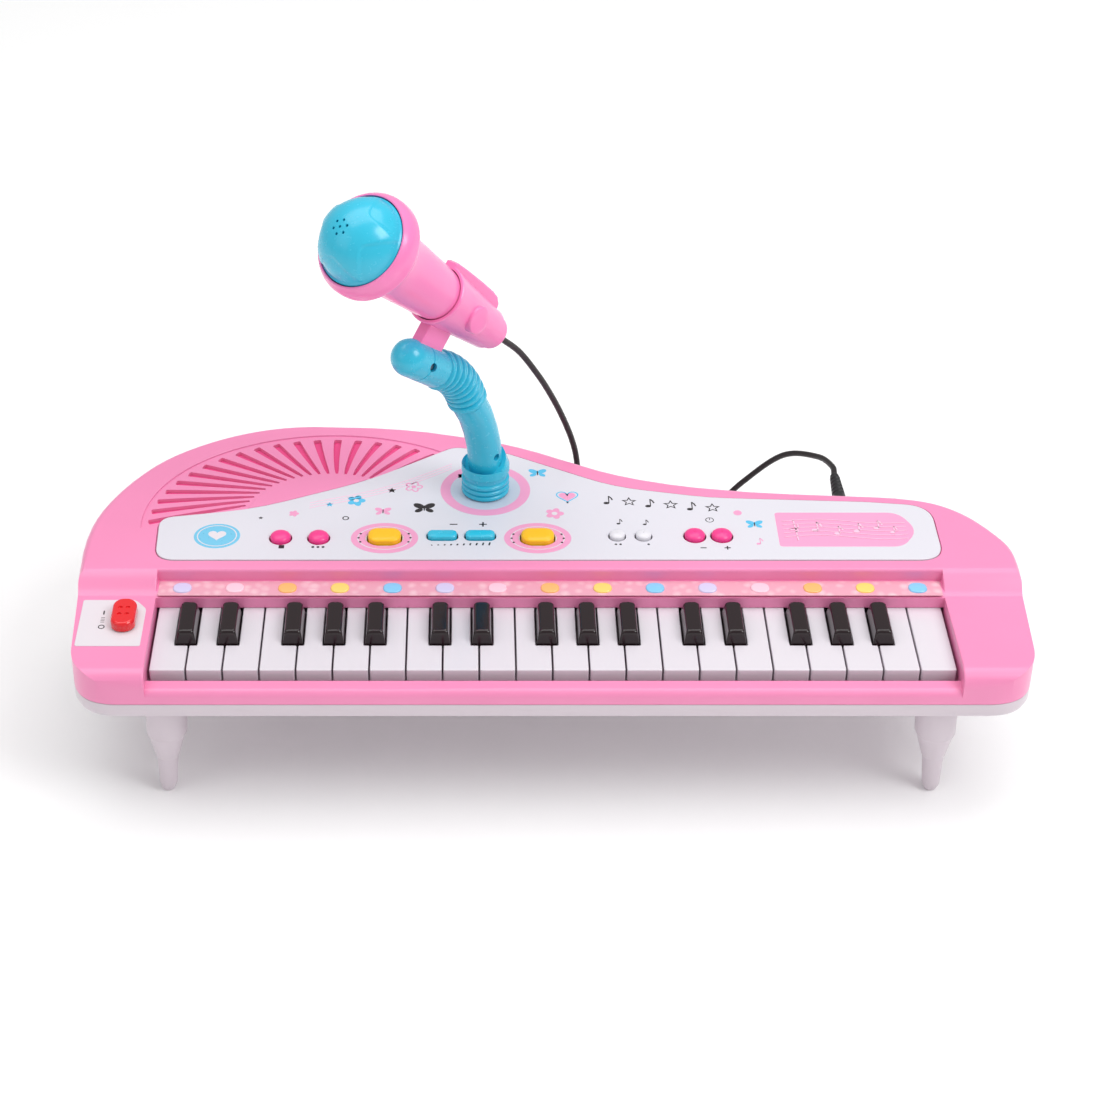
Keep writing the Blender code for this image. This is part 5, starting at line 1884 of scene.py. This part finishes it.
def tab_block(name: str, margin: float) -> bpy.types.Object:
    """The clip's flat tab, from the sleeve down into the arm.

    Args:
        name: the new piece's name.
        margin: how much larger, for the slot that it sits in.

    Returns:
        The tab.
    """
    half = 8.5 * MM + margin
    middle = sum(CLIP_SPAN) / 2 + 10.3 * MM
    low_x = 12.4 * MM - 3 * MM if not margin else 16.4 * MM
    tab = slab(name, rounded_box(30 * MM + margin - low_x, 2 * half, 1.5 * MM,
                                 ((30 * MM + margin + low_x) / 2, middle)),
               -2.8 * MM - margin, 2.8 * MM + margin, 0.0 if margin else 0.6 * MM)
    tab.data.transform(mic_frame() @ Matrix.Rotation(math.pi / 2, 4, "X") @ Matrix.Scale(-1, 4, (0, 0, 1)))
    turn_out(tab)
    return tab


@dataclass
class Microphone:
    """The microphone, its blue dome and the clip that holds it."""

    length: float = 117.9 * MM
    rim: float = 23.7 * MM
    dome: float = 20.2 * MM
    bulge: float = 17.0 * MM
    tail: float = 8.3 * MM
    handle: float = 12.4 * MM
    clip: Point2 = CLIP_SPAN
    blade_line: tuple[Point2, ...] = (
        (-9.0, 11.0), (-12.2, 12.0), (-14.4, 15.0), (-15.4, 20.0), (-16.0, 30.0), (-16.4, 44.0),
        (-16.4, 53.0), (-15.6, 54.6), (-10.0, 54.6),
    )

    def handle_radius(self, height: float) -> float:
        """Radius of the handle inside the clip."""
        low, high = self.clip
        return self.tail + (self.handle - self.tail) * (height - low) / (high - low)

    def build_clip(self) -> None:
        """Sleeve, top blade, thumb boss and tab."""
        low, high = self.clip
        narrow, wide = self.handle_radius(low), self.handle_radius(high)
        rings = [(narrow + out * MM, low + up * MM)
                 for out, up in ((0.4, 0.0), (1.3, 0.0), (1.6, 0.25), (1.6, 0.5))]
        rings += [(wide + 1.6 * MM, high - 2.4 * MM), (wide + 1.9 * MM, high - 2.0 * MM),
                  (wide + 2.0 * MM, high - 0.5 * MM), (wide + 1.6 * MM, high),
                  (wide + 0.5 * MM, high), (narrow + 0.4 * MM, low)]
        sleeve = loft("clip_sleeve", [circle(radius, height, 48) for radius, height in rings], caps=False)
        blade = slab("blade", [(x * MM, z * MM) for x, z in reversed(self.blade_line)],
                     -3.2 * MM, 3.2 * MM, 0.9 * MM, 3, 0.9 * MM)
        blade.data.transform(Matrix(((1, 0, 0, 0), (0, 0, 1, 0), (0, 1, 0, 0), (0, 0, 0, 1))))
        turn_out(blade)
        button = ((6.6 * MM, 0.0), (6.6 * MM, 4.0 * MM), (6.3 * MM, 4.7 * MM), (5.6 * MM, 5.1 * MM),
                  (3.0 * MM, 5.3 * MM))
        at_side = Matrix.Translation((1.0 * MM, 0, 34 * MM)) @ Matrix.Rotation(math.radians(-90), 4, "X")
        boss = turned("boss", button, 40, at_side @ Matrix.Translation((0, 0, 9.2 * MM)))
        for part in (sleeve, blade, boss):
            part.data.transform(mic_frame())
        for part in (blade, boss, tab_block("tab", 0.0)):
            carve(sleeve, part, "UNION")
        room = ((self.tail + 0.1 * MM, -4 * MM), (narrow + 0.4 * MM, low), (wide + 0.4 * MM, high),
                (wide + 0.4 * MM, high + 10 * MM))
        clip = carve(sleeve, turned("bore", room, 48, mic_frame()))
        settle(clip, SHOP.get(MIC_PINK), "stand", "pink_shell", ["mic_clip"])

    def build_body(self) -> None:
        """The pink handle and cup."""
        cup = self.length
        seat = cup - 5 * MM
        low, high = self.clip
        rim = self.rim
        profile = [
            (3.0 * MM, 0.0), (self.tail - 2.2 * MM, 0.5 * MM), (self.tail - 0.9 * MM, 1.2 * MM),
            (self.tail - 0.2 * MM, 2.2 * MM),
            (self.tail, 3.2 * MM), (self.tail, low), (self.handle, high),
            (self.handle + 0.9 * MM, high + 9.0 * MM), (rim - 9.9 * MM, cup - 46 * MM),
            (rim - 9.3 * MM, cup - 39 * MM), (rim - 8.8 * MM, cup - 32 * MM),
            (rim - 8.1 * MM, cup - 26 * MM), (rim - 7.2 * MM, cup - 20.6 * MM),
            (rim - 6.2 * MM, cup - 17.4 * MM), (rim - 5.0 * MM, cup - 15.0 * MM),
            (rim - 3.7 * MM, cup - 13.2 * MM), (rim - 2.2 * MM, cup - 11.7 * MM),
            (rim - 0.8 * MM, cup - 10.4 * MM), (rim - 0.15 * MM, cup - 9.2 * MM),
            (rim, cup - 8.0 * MM), (rim, cup - 5.0 * MM), (rim - 0.3 * MM, cup - 3.4 * MM),
            (rim - 0.8 * MM, cup - 2.0 * MM), (rim - 1.5 * MM, cup - 0.8 * MM),
            (self.dome + 1.3 * MM, cup + 0.3 * MM), (self.dome + 0.6 * MM, cup + 0.35 * MM),
            (self.dome + 0.35 * MM, cup - 0.2 * MM),
            (self.dome + 0.3 * MM, seat),
        ]
        body = turned("microphone_body", profile, 72, mic_frame())
        settle(body, SHOP.get(MIC_PINK), "microphone", "pink_shell", ["mic_body"])

    def build_dome(self) -> None:
        """The blue dome with five raised arcs and seven sound holes."""
        ball = (self.dome**2 + self.bulge**2) / (2 * self.bulge)
        centre = self.length + self.bulge - ball
        reach = math.acos((self.length - centre) / ball)
        sides, steps = 120, 44
        rings = [circle(self.dome, self.length - 4.7 * MM, sides), circle(self.dome, self.length, sides)]
        for step in range(steps, 0, -1):
            polar_turn = reach * step / steps
            ring = []
            for index in range(sides):
                turn = math.tau * index / sides
                radius = ball + self.relief(polar_turn / reach, turn)
                ring.append(Vector((radius * math.sin(polar_turn) * math.cos(turn),
                                    radius * math.sin(polar_turn) * math.sin(turn),
                                    centre + radius * math.cos(polar_turn))))
            rings.append(ring)
        dome = loft("microphone_dome", rings)
        turns = [math.tau * index / 6 for index in range(6)]
        holes = [(0.0, 0.0)] + [(3.3 * MM * math.cos(turn), 3.3 * MM * math.sin(turn)) for turn in turns]
        low, high = self.length + 10 * MM, self.length + 20 * MM
        drills = [slab("drill", oval(place, 0.65 * MM, 0.65 * MM, 16), low, high) for place in holes]
        carve(dome, joined("drills", drills))
        dome.data.transform(mic_frame())
        settle(dome, SHOP.get(AQUA), "microphone", "aqua", ["mic_dome"])

    def relief(self, share: float, turn: float) -> float:
        """Height of the relief: outside five arcs that bulge inwards, the surface is lower.

        Args:
            share: 0 at the top of the dome, 1 at its rim.
            turn: the direction.

        Returns:
            The height over the plain dome.
        """
        sector = math.tau / 5
        off = (turn + sector / 2) % sector - sector / 2
        edge = 0.46 + 0.46 * (abs(off) / (sector / 2)) ** 2
        depth = 0.55 * MM
        soft = min(1.0, max(0.0, (share - edge) / 0.035))
        return -depth * soft * min(1.0, max(0.0, (1.0 - share) / 0.04))

    def build(self) -> None:
        """Make all of it."""
        self.build_clip()
        self.build_body()
        self.build_dome()


@dataclass
class Switch:
    """The red slide knob on its printed plate."""

    size: Point2 = (11.0 * MM, 20.0 * MM)
    rise: float = 4.5 * MM
    proud: float = 0.9 * MM

    def build(self) -> None:
        """Make the knob and its plate."""
        low = CHEEK_Z + self.proud
        top = low + self.rise
        x, y = SWITCH_AT
        outline = rounded_box(*self.size, self.size[0] * 0.47, SWITCH_AT, 10)
        knob = slab("switch_knob", outline, low, top, 1.6 * MM, 5)
        for column in (-1, 1):
            for row in (-1, 1):
                place = (x + column * 1.7 * MM, y + row * 2.4 * MM)
                carve(knob, slab("dimple", oval(place, 1.0 * MM, 1.0 * MM, 16), top - 0.5 * MM, top + MM))
        stem = block("stem", (x - 2.5 * MM, y - 4 * MM, CHEEK_Z - 2.5 * WALL),
                     (x + 2.5 * MM, y + 4 * MM, low + 0.3 * MM))
        settle(joined("switch_knob", [knob, stem]), SHOP.get(RED), "power_switch", "red", ["power_switch"])
        corners = ((-214.0, -75.1, 1.2), (-184.6, -75.1, 1.2), (-184.6, -47.5, 5.0),
                   (-190.0, -40.9, 5.0), (-214.0, -40.9, 1.2))
        border = round_corners([(x * MM, y * MM, r * MM) for x, y, r in corners])
        plate = slab("switch_plate", border, CHEEK_Z, PLATE_TOP, 0.12 * MM, 2)
        carve(plate, slab("plate_slot", SWITCH_SLOT, CHEEK_Z - MM, CHEEK_Z + MM))
        settle(plate, SHOP.get(INK_WHITE), "case")


@dataclass
class Prints:
    """Everything printed on the panel, gathered by colour, as thin films of ink."""

    film: float = 0.05 * MM
    gathered: dict[str, list[bpy.types.Object]] = field(default_factory=dict)

    def put(self, ink: Moulded, outline: Outline, low: float = PANEL_Z) -> None:
        """Lay one filled shape."""
        self.keep(ink, slab("ink", outline, low, low + self.film))

    def band(self, ink: Moulded, outer: Outline, inner: Outline, low: float = PANEL_Z) -> None:
        """Lay the ring between two outlines.

        Args:
            ink: the colour.
            outer: the outer outline.
            inner: the inner outline.
            low: the level of its underside.
        """
        rings = [level(outer, low), level(outer, low + self.film), level(inner, low + self.film),
                 level(inner, low), level(outer, low)]
        self.keep(ink, loft("ink", rings, caps=False))

    def line(self, ink: Moulded, outline: Outline, wide: float, low: float = PANEL_Z) -> None:
        """Lay one closed outline of a width."""
        self.band(ink, outline, inset(outline, wide), low)

    def stroke(self, ink: Moulded, points: Sequence[Point2], wide: float, low: float = PANEL_Z) -> None:
        """Lay one open line of a width.

        Args:
            ink: the colour.
            points: the line's points.
            wide: the line's width.
            low: the level of its underside.
        """
        left, right = [], []
        for index, point in enumerate(points):
            after = Vector(points[min(index + 1, len(points) - 1)])
            before = Vector(points[max(index - 1, 0)])
            along = (after - before).normalized()
            side = Vector((-along.y, along.x)) * wide / 2
            left.append(tuple(Vector(point) + side))
            right.append(tuple(Vector(point) - side))
        self.keep(ink, slab("ink", right + left[::-1], low, low + self.film))

    def keep(self, ink: Moulded, obj: bpy.types.Object) -> None:
        """Remember a shape by its colour."""
        self.gathered.setdefault(ink.name, []).append(obj)

    def butterfly(self, ink: Moulded, centre: Point2, size: float) -> None:
        """Four wings and a body.

        Args:
            ink: the colour.
            centre: the middle.
            size: the width over all.
        """
        for side in (-1, 1):
            for end in (-1, 1):
                self.put(ink, wing(centre, size, side, end))
        self.put(INK_BLACK, oval(centre, size * 0.04, size * 0.24, 16), PANEL_Z + 0.02 * MM)

    def build(self) -> None:
        """Lay all prints."""
        def at(x: float, y: float) -> Point2:
            return (x * MM, y * MM)

        self.put(INK_BLACK, star(at(-74.5, 37.2), 4.5 * MM))
        self.line(INK_PINK, flower(at(-64, 40.3), 9 * MM), 0.7 * MM)
        self.put(INK_PINK, oval(at(-64, 40.3), 1.2 * MM, 1.2 * MM, 20))
        self.put(INK_BLUE, flower(at(-91.4, 28.5), 9 * MM))
        self.put(INK_WHITE, oval(at(-91.4, 28.5), 1.3 * MM, 1.3 * MM, 20), PANEL_Z + 0.03 * MM)
        self.put(INK_BLUE, star(at(-104, 25.2), 4 * MM))
        self.put(INK_PINK, flower(at(-120.7, 17.7), 5 * MM))
        self.put(INK_BLACK, star(at(-136.2, 14.1), 2.4 * MM))
        self.line(INK_BLACK, oval(at(-95.9, 13.9), 1.6 * MM, 1.6 * MM, 24), 0.5 * MM)
        self.butterfly(INK_PINK, at(-78.3, 19.5), 7.4 * MM)
        self.butterfly(INK_BLACK, at(-58.7, 22.2), 9.8 * MM)
        self.butterfly(INK_BLUE, at(-3.9, 52.1), 8.3 * MM)
        self.put(INK_PINK, heart(at(9.9, 32.1), 8.5 * MM))
        self.line(INK_BLUE, heart(at(9.9, 32.1), 11.5 * MM), 0.6 * MM)
        self.put(INK_PINK, flower(at(3.4, 17.7), 9 * MM))
        self.put(INK_WHITE, oval(at(3.4, 17.7), 1.4 * MM, 1.4 * MM, 20), PANEL_Z + 0.03 * MM)
        for index in range(6):
            share = index / 5
            centre = at(29.5 + 49.5 * share, 28.9 - 6.4 * share)
            if index % 2:
                self.line(INK_BLACK, star(centre, 7.6 * MM), 0.5 * MM)
            else:
                self.note(INK_BLACK, centre, 7.2 * MM)
        self.put(INK_PINK, oval(at(90.6, 18.3), 2 * MM, 2 * MM, 24))
        self.butterfly(INK_BLUE, at(97.8, 8.8), 7.6 * MM)
        self.note(INK_PINK, at(99, -5.1), 5.4 * MM)
        self.put(INK_PINK, flower(at(-40.7, 49.6), 4.5 * MM))
        for row in range(3):
            points = []
            for step in range(17):
                t = step / 16
                x = -113.5 + 67.8 * t
                y = 26.5 + 33.6 * t ** 0.9 - 5.5 * math.sin(t * math.pi) - row * 2.1
                points.append(at(x, y))
            self.stroke(INK_PALE_PINK, points, 0.45 * MM)
        for x, y in ((-77.0, -2.3), (-5.1, -2.7)):
            for side in (-1, 1):
                for k in (-1, 0, 1):
                    dot = at(x + side * (12.2 - abs(k) * 0.9), y + k * 3.3)
                    self.put(INK_BLACK, oval(dot, 0.55 * MM, 0.55 * MM, 12), PANEL_Z + 0.12 * MM)
        self.stroke(INK_BLACK, [at(-203.5, -52.0), at(-203.5, -49.2)], 0.6 * MM, PLATE_TOP)
        self.line(INK_BLACK, oval(at(-203.5, -61.2), 1.5 * MM, 1.5 * MM, 24), 0.45 * MM, PLATE_TOP)
        for k in range(4):
            y = -54.4 - 1.1 * k
            self.stroke(INK_BLACK, [at(-204.4, y), at(-202.6, y)], 0.25 * MM, PLATE_TOP)
        self.icons(at)
        self.ring(at)

    def note(self, ink: Moulded, centre: Point2, size: float, low: float = PANEL_Z,
             heavier: float = 0.0) -> None:
        """A single eighth note.

        Args:
            ink: the colour.
            centre: the middle.
            size: the width over all.
            low: the level of its underside.
            heavier: how much thicker its strokes are, as a share of its size.
        """
        x, y = centre
        self.put(ink, oval((x - size * 0.14, y - size * 0.34), size * 0.19, size * 0.14, 20), low)
        stem = x + size * 0.03
        self.stroke(ink, [(stem, y - size * 0.34), (stem, y + size * 0.48)], size * (0.07 + heavier), low)
        flag = [(stem, y + size * 0.46), (stem + size * 0.16, y + size * 0.26),
                (stem + size * 0.24, y + size * 0.02)]
        self.stroke(ink, flag, size * (0.10 + heavier), low)

    def icons(self, at: Callable[[float, float], Point2]) -> None:
        """The small signs beside the buttons.

        Args:
            at: turns millimetres into a place.
        """
        black = INK_BLACK
        for x, y in ((34.0, 10.9), (46.4, 10.3)):
            self.note(black, at(x, y), 4.6 * MM)
        self.line(black, oval(at(76.8, 12.4), 2.0 * MM, 2.0 * MM, 28), 0.35 * MM)
        self.stroke(black, [at(76.8, 12.4), at(76.8, 13.8)], 0.35 * MM)
        self.stroke(black, [at(-46.4, 8.8), at(-42.8, 8.8)], 0.7 * MM)
        self.stroke(black, [at(-32.5, 8.8), at(-28.9, 8.8)], 0.7 * MM)
        self.stroke(black, [at(-30.7, 7.0), at(-30.7, 10.6)], 0.7 * MM)
        self.put(black, rounded_box(2.6 * MM, 2.6 * MM, 0.3 * MM, at(-125, -9.4)))
        for k in (-1, 0, 1):
            self.put(black, oval(at(-107.9 + 2.4 * k, -9.6), 0.7 * MM, 0.7 * MM, 16))
        for x in (31.4, 33.6, 46.7):
            self.put(black, oval(at(x, -7.4), 0.6 * MM, 0.6 * MM, 16))
        self.stroke(black, [at(70.8, -10.2), at(73.6, -10.2)], 0.6 * MM)
        self.stroke(black, [at(82.0, -10.2), at(84.8, -10.2)], 0.6 * MM)
        self.stroke(black, [at(83.4, -11.6), at(83.4, -8.8)], 0.6 * MM)
        for k in range(10):
            x = -55.0 + 3.0 * k
            self.stroke(black, [at(x, -8.2), at(x + 0.5, -7.9 + 0.22 * k)], 0.75 * MM)

    def ring(self, at: Callable[[float, float], Point2]) -> None:
        """The printed ring round the stand, and the pink ovals round the yellow buttons.

        Args:
            at: turns millimetres into a place.
        """
        self.line(INK_PINK, oval(STAND_AT, 21.65 * MM, 21.65 * MM, 96), 4.8 * MM)
        self.line(INK_GREY, oval(STAND_AT, 16.85 * MM, 16.85 * MM, 96), 8.6 * MM)
        for x in (-77.0, -5.1):
            centre = at(x, -2.4)
            self.band(INK_PINK, oval(centre, 15.8 * MM, 12.2 * MM, 72), oval(centre, 9.0 * MM, 6.6 * MM, 72))
            self.line(INK_WHITE, oval(centre, 12.8 * MM, 9.4 * MM, 72), 0.5 * MM, PANEL_Z + 0.05 * MM)

    def finish(self, inks: Sequence[Moulded]) -> None:
        """Join the shapes of each colour into one piece.

        Args:
            inks: the colours.
        """
        for ink in inks:
            shapes = self.gathered.get(ink.name)
            if shapes:
                settle(joined("print_" + ink.name, shapes), SHOP.get(ink), "case")


@dataclass
class LightStrip:
    """The printed strip on the ledge with its fifteen key lights."""

    count: int = 15
    pitch: float = 24.2 * MM
    half: Point2 = (4.3 * MM, 3.7 * MM)

    def build(self) -> None:
        """Make the strip and the windows."""
        middle = (WALL_Y + DECK_Y) / 2 - 0.2 * MM
        strip = slab("light_strip", rounded_box(2 * HALF_BED - 1.6 * MM, 11.0 * MM, 1.0 * MM, (0.0, middle)),
                     LEDGE_Z, LEDGE_Z + 0.15 * MM, 0.06 * MM, 1)
        settle(strip, SHOP.get(STRIP), "case")
        lenses: dict[Lens, list[bpy.types.Object]] = {lens: [] for lens in Lens}
        order = list(Lens)
        for index in range(self.count):
            x = (index - (self.count - 1) / 2) * self.pitch
            outline = polar((x, middle), self.reach, 48)
            lens = slab("lens", outline, LEDGE_Z + 0.1 * MM, LEDGE_Z + 0.9 * MM, 0.7 * MM, 5)
            lenses[order[index % 5]].append(lens)
        for lens, shapes in lenses.items():
            finish = Moulded("ps_lens_" + lens.name.lower(), lens.value, 0.2, drift=0.02, coat=0.4, glow=0.12)
            settle(joined("light_" + lens.name.lower(), shapes), SHOP.get(finish), "case")

    def reach(self, turn: float) -> float:
        """Radius of a window in a direction: a fat oval."""
        x, y = abs(math.cos(turn)) / self.half[0], abs(math.sin(turn)) / self.half[1]
        return (x ** 2.4 + y ** 2.4) ** (-1 / 2.4)


@dataclass
class Badges:
    """The round emblem and the note plate on the deck."""

    def build(self) -> None:
        """Make both."""
        centre = (-155.8 * MM, -0.7 * MM)
        disc = oval(centre, 11.0 * MM, 10.0 * MM, 72)
        emblem = slab("emblem_disc", disc, DECK_Z, DECK_Z + 0.5 * MM, 0.35 * MM, 4)
        settle(emblem, SHOP.get(Moulded("ink_emblem_blue", "#74C4E4", 0.28, drift=0.03)), "case")
        top = DECK_Z + 0.5 * MM
        note = Prints()
        note.put(INK_WHITE, heart((centre[0], centre[1] + 0.6 * MM), 9.0 * MM), top)
        note.line(INK_WHITE, oval(centre, 9.4 * MM, 8.5 * MM, 64), 0.5 * MM, top)
        settle(joined("emblem_print", note.gathered[INK_WHITE.name]), SHOP.get(INK_WHITE), "case")
        corners = ((107.9, -9.4, 2.0), (166.0, -9.4, 10.0), (174.5, 4.0, 14.0),
                   (167.0, 18.6, 10.0), (107.9, 18.6, 2.0))
        outline = round_corners([(x * MM, y * MM, r * MM) for x, y, r in corners])
        plate = slab("note_plate", outline, DECK_Z, DECK_Z + 0.45 * MM, 0.3 * MM, 3)
        pale = Moulded("abs_pale_pink_plate", "#F4A2CA", 0.24, drift=0.03, coat=0.3)
        settle(plate, SHOP.get(pale), "case")
        stave = Prints(film=0.25 * MM)
        top = DECK_Z + 0.45 * MM
        for row in range(5):
            points = []
            for step in range(25):
                t = step / 24
                y = -1.8 + row * 3.2 + 1.6 * math.sin(t * math.tau * 0.9)
                points.append(((111 + 58 * t) * MM, y * MM))
            stave.stroke(INK_PALE_PINK, points, 0.35 * MM, top)
        notes = ((127, 6.5, 8.5), (137, 3.5, 7.5), (146.5, 5.5, 8.0), (156, 8.0, 7.5), (163, 4.0, 6.0))
        for x, y, size in notes:
            stave.note(INK_PALE_PINK, (x * MM, y * MM), size * MM, top, 0.01)
        clef = []
        for step in range(61):
            t = step / 60
            turn = t * 2.6 * math.pi - math.pi / 2
            reach = 0.6 + 2.4 * min(1.0, t * 1.6)
            y = 3.0 + reach * 0.8 * math.sin(turn) * (1 - t * 0.35) + 5.0 * t * t
            clef.append(((116.5 + reach * math.cos(turn) * (1 - t * 0.45)) * MM, y * MM))
        stave.stroke(INK_PALE_PINK, clef, 0.6 * MM, top)
        stave.stroke(INK_PALE_PINK, [(116.3 * MM, 12.5 * MM), (117.2 * MM, -4.5 * MM)], 0.6 * MM, top)
        relief = joined("note_plate_relief", stave.gathered[INK_PALE_PINK.name])
        settle(relief, SHOP.get(INK_PALE_PINK), "case")


@dataclass
class Insides:
    """Circuit board and speaker, which show only through the grille and when the case is open, and a sheet of painted
    shade under the grille.
    """

    def build(self) -> None:
        """Make the sheet of painted shade, the board and the speaker."""
        # Painted shade: a deep pink sheet under the grille gives the slots the shaded pink seen inside them
        low, high = DECK_Z - WALL - 0.55 * MM, DECK_Z - WALL - 0.05 * MM
        shade_sheet = slab("grille_liner", Grille().around(5.0 * MM), low, high)
        settle(shade_sheet, SHOP.get(SLOT_SHADE), "case")
        low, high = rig.box("circuit_board")
        board_high = DECK_Z - 13.0 * MM
        board = slab("board_plate", rounded_box(high.x - low.x, BUTTON_Y + 20 * MM - low.y, 1.0 * MM,
                                                ((low.x + high.x) / 2, (low.y + BUTTON_Y + 20 * MM) / 2)),
                     board_high - 1.6 * MM, board_high)
        settle(board, SHOP.get(BOARD_GREEN), "case", "board", ["circuit_board"])
        centre = deck_point(-0.477, 0.56)
        place = Matrix.Translation((centre[0], centre[1], 0.0))
        top = DECK_Z - WALL - 0.6 * MM
        frame_line = ((13 * MM, SPLIT_Z), (13 * MM, top - 9.5 * MM), (24.6 * MM, top - 2.2 * MM),
                      (25 * MM, top - 2 * MM), (25 * MM, top - 0.3 * MM), (24.7 * MM, top),
                      (22.6 * MM, top), (22.4 * MM, top - 0.8 * MM))
        basket = turned("speaker_basket", frame_line, 64, place)
        settle(basket, SHOP.get(STEEL), "case", "speaker_metal", ["speaker"])
        cone_line = ((22.3, 0.75), (22.0, 0.3), (21.2, 0.15), (20.2, 0.4), (19.8, 0.9), (8.2, 5.6),
                     (8.0, 5.2), (6.5, 3.9), (4.0, 3.1), (1.5, 2.8))
        profile = [(radius * MM, top - down * MM) for radius, down in cone_line]
        cone = turned("speaker_cone", profile, 64, place)
        settle(cone, SHOP.get(PAPER_CONE), "case")


def main() -> None:
    """Build every sub-assembly."""
    logging.basicConfig(level=logging.INFO, format="%(name)s: %(message)s")
    studio = Studio()
    studio.camera()
    plug = Plug().build()
    Lead().build(plug)
    UpperShell().build()
    Tray().build()
    holes = Buttons().build()
    Panel().build(holes)
    Keys().build()
    Legs().build()
    Stand().build()
    Microphone().build()
    Switch().build()
    prints = Prints()
    prints.build()
    prints.finish([INK_BLACK, INK_PINK, INK_PALE_PINK, INK_BLUE, INK_GREY, INK_WHITE])
    LightStrip().build()
    Badges().build()
    Insides().build()
    studio.light()
    studio.floor()
    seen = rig.bounds()
    sizes = {"cad": [list(corner) for corner in CAD_BOX], "visual": [list(corner) for corner in seen]}
    with open("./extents.json", "w", encoding="utf-8") as record:
        json.dump(sizes, record)


if __name__ == "__main__":
    main()
